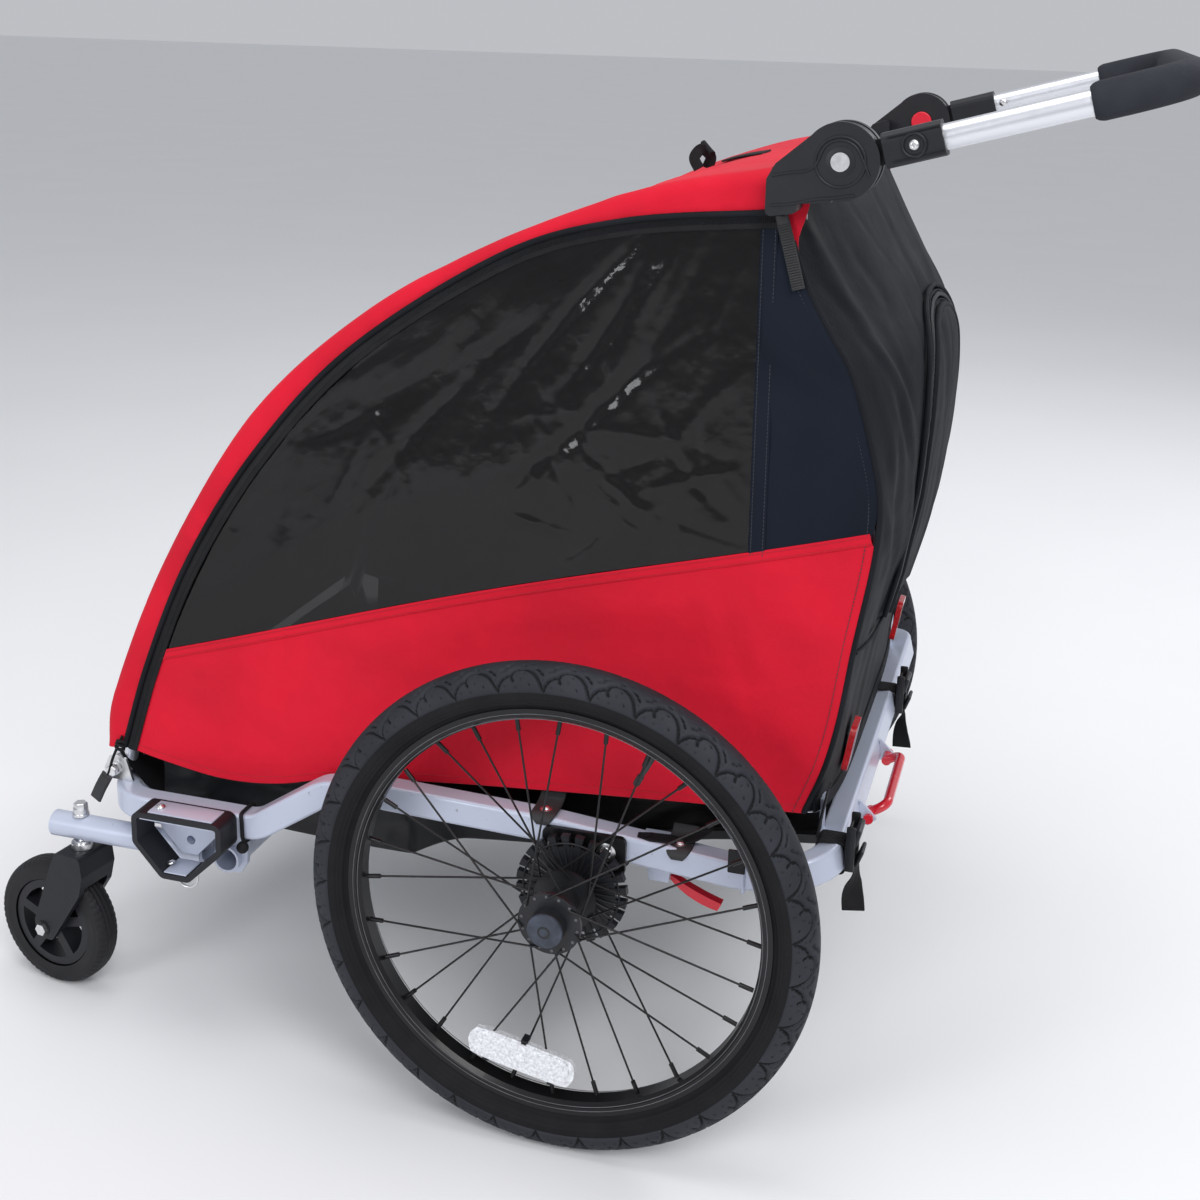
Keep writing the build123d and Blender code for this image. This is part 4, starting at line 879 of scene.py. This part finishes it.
# ---------------------------------------------------------------- roof and front
def roof_section(zip_p, roof_p, y0, count_side, count_corner, count_top):
    """Across the roof at one place along it: up the near side strip, over, and down the far one."""
    (zx, zz), (rx, rz) = zip_p, roof_p
    r = 13.0
    length = np.linalg.norm((rx - zx, rz - zz))
    dx, dz = (rx - zx) / length, (rz - zz) / length
    half = []
    for k in np.linspace(0, length - r, count_side, endpoint=False):
        half.append((zx + dx * k, y0, zz + dz * k))
    for a in np.linspace(0, math.pi / 2, count_corner, endpoint=False):
        k = length - r + r * math.sin(a)
        half.append((zx + dx * k, y0 - r * (1 - math.cos(a)), zz + dz * k))
    top = [(rx, y, rz) for y in np.linspace(y0 - r, -(y0 - r), count_top)]
    return half + top + [(x, -y, z) for x, y, z in reversed(half)]


def make_roof():
    n = 260
    count_top = 73
    zips, roofs = line(ZIP_LINE, n), line(ROOF_LINE, n)
    zips[:, 0] += np.linspace(0, -20, n) * np.clip(np.linspace(-3, 1, n), 0, 1)
    y0 = CLOTH_Y + 1.6
    g = np.array([[at(*p) for p in roof_section(z, r, y0, 7, 7, count_top)] for z, r in zip(zips, roofs)])
    m = g.shape[1]
    y = g[..., 1] * 1000
    slope = np.gradient(roofs, axis=0)
    normal = np.stack([slope[:, 1], -slope[:, 0]], 1)
    normal /= np.linalg.norm(normal, axis=1)[:, None]
    normal *= np.sign(normal[:, 1:2] + 1e-9)
    from_edge = np.minimum(np.arange(m), m - 1 - np.arange(m))[None, :]
    roof_mm = 1100
    run = np.linspace(0, 1, n)[:, None] * roof_mm
    # sag between the tubes, and creases
    sag = np.ones_like(run)
    for tube_at in (0.0, 0.245, 0.66, 0.955):
        sag *= 1 - np.exp(-(((run - tube_at * roof_mm) / 90) ** 2))
    d = -5.0 * sag * np.clip(1 - (np.abs(y) / 300) ** 3, 0, 1)
    d = d + creases(run + 0 * y, y, 61, 22, (0, 1100), (-280, 280), (60, 160), (10, 24), 1.7, 88, 20)
    d = d + creases(run + 0 * y, y, 62, 14, (850, 1100), (-290, 290), (30, 80), (7, 13), 2.2, 30, 60)
    push_out(g, normal, d * np.clip((from_edge - 9) / 5, 0, 1))
    # puckers along the zip and the corner
    rng = np.random.default_rng(63)
    pucker = np.zeros((n, 1))
    for _ in range(60):
        c, w, h = rng.uniform(0, roof_mm), rng.uniform(5, 13), rng.uniform(-1.2, 1.4)
        pucker += h * np.exp(-(((run - c) / w) ** 2))
    side_zone = np.clip(1 - from_edge / 16.0, 0, 1) * (from_edge > 0)
    g[..., 1] += np.sign(y) * np.clip(pucker, -1.0, 2.5) * side_zone / 1000
    # the front window is cut out of the cloth
    u_mid = (np.arange(n - 1) + 0.5) / (n - 1)
    y_mid = (y[0, :-1] + y[0, 1:]) / 2
    film = ((u_mid > 0.13) & (u_mid < 0.60))[:, None] & (np.abs(y_mid) < 232)[None, :]
    cloth = [grid(g, keep=~film, flip=True)]
    roof = piece("roof_cloth", cloth, RED, "upper_frame", thick=0.0014, angle=70)
    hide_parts("roof_cover")
    rows = np.where(film.any(1))[0]
    cols = np.where(film.any(0))[0]
    pane = g[rows[0] : rows[-1] + 2, cols[0] : cols[-1] + 2].copy()
    u = np.linspace(0, 1, pane.shape[0])[:, None]
    v = np.linspace(0, 1, pane.shape[1])[None, :]
    edge = np.clip(np.minimum(np.minimum(u, 1 - u), np.minimum(v, 1 - v)) * 12, 0, 1)
    d = creases(u * 500 + 0 * v, v * 460 + 0 * u, 64, 30, (0, 500), (0, 460), (30, 160), (6, 20), 1.6, 70, 50)
    push_out(pane, normal[rows[0] : rows[-1] + 2], d * edge)
    pane_grid = [grid(pane, flip=True)]
    film_piece = piece("front_window", pane_grid, FILM, "upper_frame", thick=0.0006, angle=75)
    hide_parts("roof_cover")
    rim = np.vstack([pane[:, 0], pane[-1, 1:], pane[-2::-1, -1], pane[0, -2:0:-1]])
    rim = rim[:: (3)] + np.array((0, 0, 0.0006))
    piece("front_window_binding", [tube(rim, 0.0042, 8, closed=True)], BLACK_CLOTH, "upper_frame")
    for side, s in SIDES:
        make_zip(side, s)


def make_zip(side, s):
    """The zip along one side of the roof: its tape, teeth and piping."""
    path = line(ZIP_LINE + [(-166, 906)], 200)
    slope = np.gradient(path, axis=0)
    normal = np.stack([-slope[:, 1], slope[:, 0]], 1)
    normal /= np.linalg.norm(normal, axis=1)[:, None]
    normal *= np.where(normal[:, 1:2] < 0, 1, -1)
    out = (0, s, 0)

    def beside(gap, y):
        return np.array([at(x, s * y, z) for x, z in path + normal * gap])

    piece(f"zip_piping_{side}", [tube(beside(-1.0, 306.0), 0.0030, 10)], BLACK_CLOTH, "upper_frame")
    tape = sweep(beside(6.0, 304.6), flat(0.0014, 0.014), up=out)
    piece(f"zip_tape_{side}", [tape], WEBBING, "upper_frame")
    tooth = [(0.0006, 0), (0, 0.0005), (-0.0003, 0), (0, -0.0005)]
    run = beside(5.5, 305.6)
    teeth = []
    for a, b, (nx, nz) in zip(run[:-1], run[1:], normal):
        q = np.array((nx, 0, nz)) * 0.0022
        for k in np.linspace(0, 1, 3, endpoint=False):
            c = a * (1 - k) + b * k
            teeth.append(sweep([c - q, c + q], tooth, up=out))
    piece(f"zip_teeth_{side}", teeth, PLASTIC, "upper_frame")


make_roof()


# ---------------------------------------------------------------- padded seat and back
def pad(name, low, high, shrink, cells, cap, pressure, mat):
    """A cushion: a box with rounded corners, blown up by the cloth solver."""
    lo, hi = np.array(low) + shrink, np.array(high) - shrink
    counts = [max(3, int((b - a) / cells)) for a, b in zip(lo, hi)]
    pts, faces, index = [], [], {}

    def corner(i, j, k):
        key = (i, j, k)
        if key not in index:
            index[key] = len(pts)
            pts.append([lo[d] + (hi[d] - lo[d]) * v / counts[d] for d, v in enumerate(key)])
        return index[key]

    for axis in range(3):
        u, v = [d for d in range(3) if d != axis]
        cells_on = [(i, j) for i in range(counts[u]) for j in range(counts[v])]
        for level, (i, j) in ((c, cell) for c in (0, counts[axis]) for cell in cells_on):
            quad = []
            for a, b in ((0, 0), (1, 0), (1, 1), (0, 1)):
                key = [0, 0, 0]
                key[axis], key[u], key[v] = level, i + a, j + b
                quad.append(corner(*key))
            faces.append(quad if (level > 0) != (axis == 1) else quad[::-1])
    obj = piece(name, [(np.array(pts), faces)], mat)
    remesh = obj.modifiers.new("remesh", "REMESH")
    remesh.mode, remesh.voxel_size = "VOXEL", 0.0065
    settle(obj)
    start = np.array([v.co for v in obj.data.vertices])
    cloth = obj.modifiers.new("cloth", "CLOTH")
    cloth.settings.use_pressure = True
    cloth.settings.uniform_pressure_force = pressure
    cloth.settings.quality = 5
    cloth.settings.effector_weights.gravity = 0
    cloth.point_cache.frame_start, cloth.point_cache.frame_end = 1, 16
    for f in range(1, 17):
        bpy.context.scene.frame_set(f)
    settle(obj)
    bpy.context.scene.frame_set(1)
    end = np.array([v.co for v in obj.data.vertices])
    step = end - start
    far = np.linalg.norm(step, axis=1)[:, None]
    end = start + step * np.minimum(1, cap / np.maximum(far, 1e-9))
    obj.data.vertices.foreach_set("co", end.ravel())
    return obj


def channels(obj, lines, depth, width, inward):
    """Sewn lines pressed into a cushion. Each is (axis, place, the other axis and its range)."""
    co = np.array([v.co for v in obj.data.vertices])
    press = np.zeros(len(co))
    for axis, place, other, low, high in lines:
        near = np.exp(-(((co[:, axis] - place) / width) ** 2))
        inside = (co[:, other] > low) & (co[:, other] < high)
        press = np.maximum(press, near * inside)
    obj.data.vertices.foreach_set("co", (co + np.array(inward) * press[:, None] * depth).ravel())
    obj.data.update()


def make_seat_pads():
    low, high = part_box("seat")
    seat = pad("seat_pad", low, high, 0.006, 0.012, 0.012, 4.0, SEAT_CLOTH)
    co = np.array([v.co for v in seat.data.vertices])
    co[:, 2] = np.clip(co[:, 2], low.z + 0.001, high.z + 0.006)
    seat.data.vertices.foreach_set("co", co.ravel())
    sewn_y = (-0.118, 0.0, 0.118)
    sewn = [(1, y, 0, low.x, high.x) for y in sewn_y] + [(0, low.x + x, 1, -0.3, 0.3) for x in (0.12, 0.24)]
    channels(seat, sewn, 0.007, 0.005, (0, 0, -1))
    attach(seat, "base_frame")
    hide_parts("seat")
    b_low, b_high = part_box("backrest")
    back = pad("back_pad", (0, b_low.y, 0), (0.026, b_high.y, 0.460), 0.004, 0.012, 0.012, 3.0, SEAT_CLOTH)
    sewn = [(1, y, 2, 0, 0.46) for y in sewn_y] + [(2, z, 1, -0.3, 0.3) for z in (0.12, 0.24, 0.36)]
    channels(back, sewn, 0.006, 0.005, (-1, 0, 0))
    foot, head = at(-146, 0, 322), at(-171, 0, 786)
    upward_b = unit(head - foot)
    front_b = np.cross((0, 1, 0), upward_b)
    m = np.eye(4)
    m[:3, 0], m[:3, 1], m[:3, 2], m[:3, 3] = front_b, (0, 1, 0), upward_b, foot - front_b * 0.010
    back.data.transform(Matrix(m.tolist()))
    cabin(back)
    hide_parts("backrest")

    def on_back(y, h, lift=0.024):
        return foot + upward_b * h / 1000 + front_b * lift + np.array((0, y / 1000, 0))

    webbing = flat(0.0016, 0.025)
    swell = [min(1, 0.6 + 0.12 * min(i, 23 - i)) for i in range(24)]
    for side, s in SIDES:
        belts, pads = [], []
        centre = s * 116
        for k in (-1, 1):
            path = line([on_back(centre + k * 52, 330), on_back(centre + k * 50, 240, 0.029),
                         on_back(centre + k * 40, 130, 0.033), at(-98, centre + k * 24, 392),
                         at(-62, centre + k * 8, 372)], 40)
            belts.append(sweep(path, webbing, up=front_b))
            pads.append(sweep(line(path[4:22], 24), flat(0.009, 0.040), up=front_b, scale=swell))
            lap = [at(x, centre + k * gap, z) for x, gap, z in ((-120, 92, 362), (-96, 60, 366), (-66, 14, 370))]
            belts.append(sweep(line(lap, 24), webbing, up=(0.5, 0, 1)))
        crotch = line([at(30, centre, 357), at(-20, centre, 364), at(-52, centre, 371)], 16)
        belts.append(sweep(crotch, webbing, up=UP))
        c = at(-58, centre, 376)
        buckle = block((46, 40, 15), c, None, 0.35)
        button = washer(9, 1.6, 7.5, 2.4, c + np.array((0, 0, 0.0073)), UP, 24)
        groups = [(belts, WEBBING), (pads, SEAT_CLOTH), ([buckle], PLASTIC), ([button], RED_PLASTIC)]
        piece(f"harness_{side}", groups, None, "cabin")


make_seat_pads()


# ---------------------------------------------------------------- belly cloth
def make_belly():
    n, m = ((220, 130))
    low = line([(484, 230), (440, 223), (330, 216), (200, 214), (120, 221), (40, 230), (-40, 246),
                (-120, 264), (-222, 277)], n)
    foot_x = 190  # the foot well in front of it has walls
    flat_part = 0.80  # of the half width
    g = np.zeros((n, m, 3))
    for i, (x, z) in enumerate(low):
        wide = 283 if x > 196 else 239 + 44 * max(0.0, min(1.0, (x - 150) / 46)) ** 2
        if x > foot_x:
            rise = np.interp(x, (-60, 180, 262, 345, 400, 486), (14, 40, 74, 80, 78, 72))
        else:
            rise = np.interp(x, (100, foot_x), (12, 44))
        for j, t in enumerate(np.arange(m) / (m - 1) * 2 - 1):
            out = min(abs(t) / flat_part, 1.0)
            side_t = np.clip((abs(t) - flat_part) / (1 - flat_part), 0, 1)
            pull = 5 * (1 - side_t) * (abs(t) > 0.7)
            g[i, j] = at(x, np.sign(t) * (wide * out - pull), z + rise * side_t - 4.2 * (1 - out**2) + 3)
    x, z = in_mm(g)
    y = g[..., 1] * 1000
    t = np.abs(np.linspace(-1, 1, m))[None, :]
    wall = np.clip((t - flat_part) / 0.03, 0, 1) * np.clip((1 - t) / 0.03, 0, 1) * (x > foot_x)
    g[..., 1] += np.sign(y) * np.clip(all_creases(x, z, BELLY_CREASES), -4, 3) * wall / 1000
    floor_d = creases(x, y, 73, 40, (-220, 480), (-280, 280), (50, 160), (10, 24), 2.6, 80, 40)
    g[..., 2] += np.clip(floor_d, -3, 5) * np.clip((0.78 - t) * 8, 0, 1) / 1000
    belly = piece("belly_cloth", [grid(g)], COATED, "base_frame", thick=0.0012, angle=70)
    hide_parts("floor_pan")
    front = [[at(484 + 41 * v + 4 * math.sin(math.pi * v) - 2 * math.cos(y / 40), y * (283 + 19 * v) / 283,
                 228 + 63 * v) for v in np.linspace(0, 1, 18)] for y in np.linspace(-283, 283, 90)]
    apron = piece("front_apron", [grid(np.array(front))], COATED, "base_frame", thick=0.0012, angle=70)


make_belly()


# ---------------------------------------------------------------- handle
SLOPE = math.radians(15.7)
ARM = np.array((-math.cos(SLOPE), 0, math.sin(SLOPE)))
OVER_ARM = np.array((math.sin(SLOPE), 0, math.cos(SLOPE)))


def on_arm(reach, y):
    return at(HINGE_X, y, HINGE_Z) + ARM * reach / 1000


def make_grip():
    """The foam along the bar and round its corners, then what is moulded on each hinge."""
    bend, end, start = 62.0, 284.0, 205.0
    inner = ARM_Y - bend
    path = [on_arm(k, ARM_Y) for k in np.linspace(start, end - bend, 8)]
    path += [on_arm(end - bend + bend * math.sin(a), inner + bend * math.cos(a))
             for a in np.linspace(0.06, math.pi / 2, 26)]
    path += [on_arm(end, y) for y in np.linspace(inner - 8, 8, 30)]
    p = np.array(path + [np.array((q[0], -q[1], q[2])) for q in reversed(path)])
    run = along_line(p)
    end_gap = np.minimum(run, run[-1] - run)
    scale = (0.80 + 0.20 * np.sqrt(np.clip(end_gap / 0.007, 0, 1))
             - 0.012 * np.exp(-(((end_gap - 0.10) / 0.03) ** 2)))
    grip = piece("foam_handle", [tube(p, 0.0163, 40, scale=scale)], FOAM, "handle", angle=60)
    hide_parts("handle_grip")
    screws = []
    for side, s in SIDES:
        out = (0, s, 0)
        for reach, y, way in ((62, s * 331.2, s), (96, s * 295.6, -s)):
            c = on_arm(reach, y - way * 1.6)
            screws.append(screw(c, (0, way, 0), 4.6, 2.4))
        # raised rim round the outer disc
        disc = ring(at(HINGE_X, s * (ARM_Y + 18.2), HINGE_Z), (0.021, 0, 0), (0, 0, 0.021), 60)
        piece(f"hinge_ring_{side}", [tube(disc, 0.0012, 8, closed=True)], PLASTIC, "upper_frame")
        # plate over the outer ear: a raised outline that runs over the bolt, and a washer round the bolt
        y = s * (ARM_Y + 18.4)
        over = [(-158, 941), (-172, 944), (-186, 946), (-194, 951), (-199, 962)]
        over += [(HINGE_X + 18 * math.cos(t), HINGE_Z + 18 * math.sin(t))
                 for t in np.radians((42, 66, 90, 114, 138, 162))]
        over += [(-236, 953), (-240, 944)]
        under = [(-158, 916), (-176, 918), (-196, 923), (-212, 925), (-228, 928)]
        ridge = [tube(side_line(points, y, 60), 0.0011, 8) for points in (over, under)]
        washer_line = [(12.5, 0), (12.5, 0.7), (9.5, 1.5), (7.0, 1.5)]
        ridge.append(turned(washer_line, at(HINGE_X, y - s * 0.6, HINGE_Z), out, 48))
        piece(f"hinge_plate_{side}", ridge, PLASTIC, "upper_frame")
        # ribs and a recess along the socket
        ribs = [tube([on_arm(k, y - s * 0.2) + OVER_ARM * lift for k in np.linspace(42, 86, 12)], 0.0010, 8)
                for lift in (0.0115, -0.0125)]
        recess = ring(on_arm(62, y - s * 0.8), ARM * 0.0095, OVER_ARM * 0.0095, 40)
        ribs.append(tube(recess, 0.0011, 8, closed=True))
        piece(f"socket_ribs_{side}", ribs, PLASTIC, "handle")
    piece("socket_screws", screws, ZINC, "handle")


make_grip()


# ---------------------------------------------------------------- straps, tabs and small hardware
def ribbed_pull(name, path, width, normal, body):
    """A rubber pull with cross ribs."""
    p = line(path, 30)
    n = unit(normal)
    b = np.cross(unit(p[-1] - p[0]), n)
    shapes = [sweep(p, flat(0.0022, width / 1000), up=normal)]
    for c in p[4:29] + n * 0.0014:
        shapes.append(sweep([c - b * width / 2300, c + b * width / 2300], circle(0.0009, 8), up=n))
    piece(name, shapes, RUBBER, body)


def round_tube(centre, half_x, half_z, y, width, gap=1.6):
    """Webbing round a box tube that runs across."""
    r = 5
    x0, z0 = centre
    pts = []
    for start, sx, sz in ((0, 1, 1), (90, -1, 1), (180, -1, -1), (270, 1, -1)):
        for a in np.radians(np.linspace(start, start + 90, 6)):
            pts.append(at(x0 + sx * (half_x + gap - r) + r * math.cos(a), y,
                          z0 + sz * (half_z + gap - r) + r * math.sin(a)))
    p = np.array(pts)
    return sweep(p, flat(0.0018, width / 1000), up=p - at(x0, y, z0), closed=True)


def make_rear_strap(side, s):
    """Cam buckle and webbing round the rear tube."""
    y = 281 if s > 0 else -110
    tail = line([at(-262, y, 296), at(-264, y, 282), at(-262, y, 262), at(-264, y, 240)], 24)
    twist = [(-1 + 0.9 * k / 23, s * 0.95 * k / 23, 0) for k in range(24)]
    narrow = [1 - 0.35 * math.sin(math.pi * min(1, k / 12)) ** 2 for k in range(24)]
    rise = line([at(-226, y, 316), at(-227, y, 328), at(-230, y, 346), at(-233, y, 364)], 14)
    straps = [round_tube((-240, 298), 12.5, 14, y, 25),
              sweep(tail, flat(0.0018, 0.022), up=twist, scale=narrow),
              sweep(rise, flat(0.0018, 0.025), up=(-1, 0, 0))]
    cam = [block((9, 4.2, 46), at(-259, y + k * 16.5, 312), None, 0.35) for k in (-1, 1)]
    for size, x, z, c, d in (((7, 30, 20), -263.5, 322, 0.97, 0.24), ((4, 24, 18), -267, 300, 0.94, 0.34)):
        cam.append(block(size, at(x, y, z), ((c, 0, d), (0, 1, 0), (-d, 0, c)), 0.45))
    for k in range(6):
        x, z = -257 - 1.6 * (k % 2), 328 - 6 * k
        cam.append(tube(line([at(x, y - 14, z), at(x, y + 14, z)], 6), 0.0017, 10))
    piece(f"rear_buckle_{side}", [(straps, WEBBING), (cam, PLASTIC)], None, "base_frame")


def make_rail_straps(side, s):
    """What buttons the side cloth to the rail, and the strap on top of it."""
    scale = [1.0 if k < 17 else 1.0 - 0.55 * ((k - 17) / 8) ** 2 for k in range(26)]
    ups = np.array([(0, s * 0.3, 1)] * 20 + [(0, s, 0.3)] * 6)
    for i, (x, z) in enumerate(((36, 313.2), (-100, 299.5))):
        drop = ((296, 10), (304, 4.5), (315, 2.0), (328, 1.2), (334, -3), (334.6, -8))
        path = line([at(x, s * y, z + dz) for y, dz in drop], 26)
        tab = sweep(path, flat(0.0022, 0.026), up=ups, scale=scale)
        stud = turned([(6.2, 0), (6.2, 0.8), (4.4, 1.2), (3.6, 2.6), (2.0, 3.2), (0.1, 3.2)],
                      at(x, s * 321, z + 2.2), UP, 28)
        piece(f"rail_tab_{side}_{i + 1}", [([tab], RUBBER), ([stud], ZINC)], None, "base_frame")
    way = ((-58, 323, 305.2), (-78, 320, 303.6), (-104, 312, 303), (-124, 300, 312))
    path = line([at(x, s * y, z) for x, y, z in way], 30)
    strap = sweep(path, flat(0.0020, 0.018), up=UP, scale=[min(1, 0.55 + k * 0.09) for k in range(30)])
    eyelet = turned([(4.4, 0), (4.4, 0.6), (2.4, 0.9), (2.2, 0.2), (0.02, 0.1)],
                    at(-66, s * 322, 306.0), UP, 24)
    piece(f"rail_strap_{side}", [([strap], WEBBING), ([eyelet], PLASTIC)], None, "base_frame")


def make_front_corner(side, s):
    """Pull cord, its knot and the rubber pull."""
    cord = [(517, 306.5, 312), (522, 309, 300), (527, 312, 286), (531, 313, 272), (536, 313.5, 262)]
    knot = [tube(line([at(x, s * y, z) for x, y, z in cord], 24), 0.0016, 8)]
    for k in range(3):
        turn = ring(at(518 + k, s * 307.5, 306 - 3.5 * k), (0.0042, 0, 0.0016 * math.sin(k)),
                    (0, s * 0.003, 0.0016 * math.cos(k)), 20)
        knot.append(tube(turn, 0.0019, 8, closed=True))
    piece(f"front_knot_{side}", knot, WEBBING, "upper_frame")
    pull = [at(533, s * 313.5, 268), at(540, s * 316, 254), at(546, s * 318, 240)]
    ribbed_pull(f"front_pull_{side}", pull, 15, (0.2, s, 0.1), "upper_frame")


def make_metal(side, s):
    """Bolts, end plug, the bracket's shelf, the rail's tie, gusset and weld beads."""
    out = (0, s, 0)
    bolts = [hexagon(at(529, s * 308.8, 272), out, 12, 5.0), hexagon(at(-31, s * 338.0, 289), out, 10, 5.0),
             washer(9.5, 1.2, 8.6, 1.6, at(-31, s * 337.4, 289), out, 30),
             hexagon(at(574, s * BOOM_Y, 218.6), UP, 13, 6.5),
             screw(at(446, s * 352, 262.3), UP, 5.2, 3.0),
             screw(at(436, s * 352, 200.5), (0.3, 0, 1), 4.4, 2.6),
             hexagon(at(22, s * 338.0, 291), out, 10, 4.2)]
    piece(f"frame_bolts_{side}", bolts, ZINC, "base_frame")
    plug = [(13.9, -6), (13.9, 0), (14.1, 0.2), (14.1, 2.4), (12.4, 3.6), (0.1, 3.6)]
    piece(f"boom_plug_{side}", [turned(plug, at(604, s * BOOM_Y, 196), (1, 0, 0), 40)], PAINT, "base_frame")
    plates = (((84, 30, 1.6), 421, 253.8), ((74, 27, 1.8), 417, 261.6), ((26, 30, 1.6), 424, 197.2))
    shelf = [block(size, at(x, s * 351, z), None, 0.4) for size, x, z in plates]
    piece(f"bracket_shelf_{side}", shelf, PAINT, "base_frame")
    # elastic tie round the rail, with its ball
    turn = full_turn(48)
    tie = np.array([at(362 + 2 * b, s * (RAIL_Y + 15.0 * np.sign(a) * abs(a) ** 0.3),
                       244 + 16.0 * np.sign(b) * abs(b) ** 0.3) for a, b in zip(np.cos(turn), np.sin(turn))])
    ball = turned([(0.1, -6.5), (3.6, -5.5), (6.0, -2.6), (6.5, 0), (6.0, 2.6), (3.6, 5.5), (0.1, 6.5)],
                  at(362, s * 335, 223), UP, 24)
    piece(f"rail_tie_{side}", [tube(tie, 0.0021, 10, closed=True), ball], WEBBING, "base_frame")
    gusset = block((17, 3.2, 24), at(-158, s * 334.2, 300), None, 0.4)
    piece(f"gusset_{side}", [gusset], DARK_STEEL, "base_frame")
    corners = [(1, 1), (-1, 1), (-1, -1), (1, -1)]
    beads = []
    for x, z, half in ((-198, 288, 13), (-165, 283, 14)):
        weld = []
        for (u0, v0), (u1, v1) in zip(corners, corners[1:] + corners[:1]):
            for t in np.linspace(0, 1, 9, endpoint=False):
                u, v = u0 * (1 - t) + u1 * t, v0 * (1 - t) + v1 * t
                weld.append(at(x, s * RAIL_Y + u * 12.6, z + v * (half + 0.2)))
        beads.append(tube(weld, 0.0019, 8, closed=True, scale=1 + 0.18 * np.sin(np.arange(len(weld)) * 2.4)))
    piece(f"weld_beads_{side}", beads, PAINT, "base_frame")


def make_trim():
    for side, s in SIDES:
        pull = [at(-163, s * 305.5, ZIP_Z), at(-171, s * 307.5, 880), at(-182, s * 308.5, 842)]
        ribbed_pull(f"zip_pull_{side}", pull, 12, (0, s, 0), "upper_frame")
        # webbing wound round the hoop in front of the hinge
        axis = np.array((-0.985, 0, 0.17))
        u = np.array((0, s, 0))
        w = np.cross(axis, u)
        wrap = []
        for k in range(4):
            c = at(-150 - 7 * k, s * 285, 919 + 1.7 * k)
            wave = axis * 0.0012 * np.sin(2 * full_turn(28) + k)[:, None]
            turn = ring(c, u * 0.0148, w * 0.0148, 28) + wave
            wrap.append(sweep(turn, flat(0.0018, 0.009), up=turn - c, closed=True))
        piece(f"hinge_webbing_{side}", wrap, WEBBING, "upper_frame")
        make_rear_strap(side, s)
        make_rail_straps(side, s)
        make_front_corner(side, s)
        make_metal(side, s)
    # on the roof: strap loop, its toggle, and a black patch
    loop = line([at(-18, 7, 914), at(-12, 4, 925), at(-19, 0, 934), at(-28, -3, 926), at(-24, -5, 914)], 36)
    toggle = line([at(-32, 6, 930), at(-26, 0, 934), at(-18, -8, 940)], 12)
    toggles = [sweep(loop, flat(0.0018, 0.012), up=(0, 1, 0)), tube(toggle, 0.0032, 12)]
    piece("roof_loop", toggles, WEBBING, "upper_frame")
    path = line([at(x, 0, roof_height(x) + lift) for x, lift in ((-46, 1.5), (-66, 1.8), (-88, 1.5))], 12)
    piece("roof_patch", [sweep(path, flat(0.002, 0.050), up=UP)], WEBBING, "upper_frame")
    pull = [at(-203, 6, 906), at(-212, 5, 888), at(-227, 4, 852)]
    ribbed_pull("rear_zip_pull", pull, 11, (-1, 0, 0.4), "upper_frame")


def roof_height(x):
    p = line(ROOF_LINE, 200)
    return float(np.interp(x, p[::-1, 0], p[::-1, 1]))


make_trim()
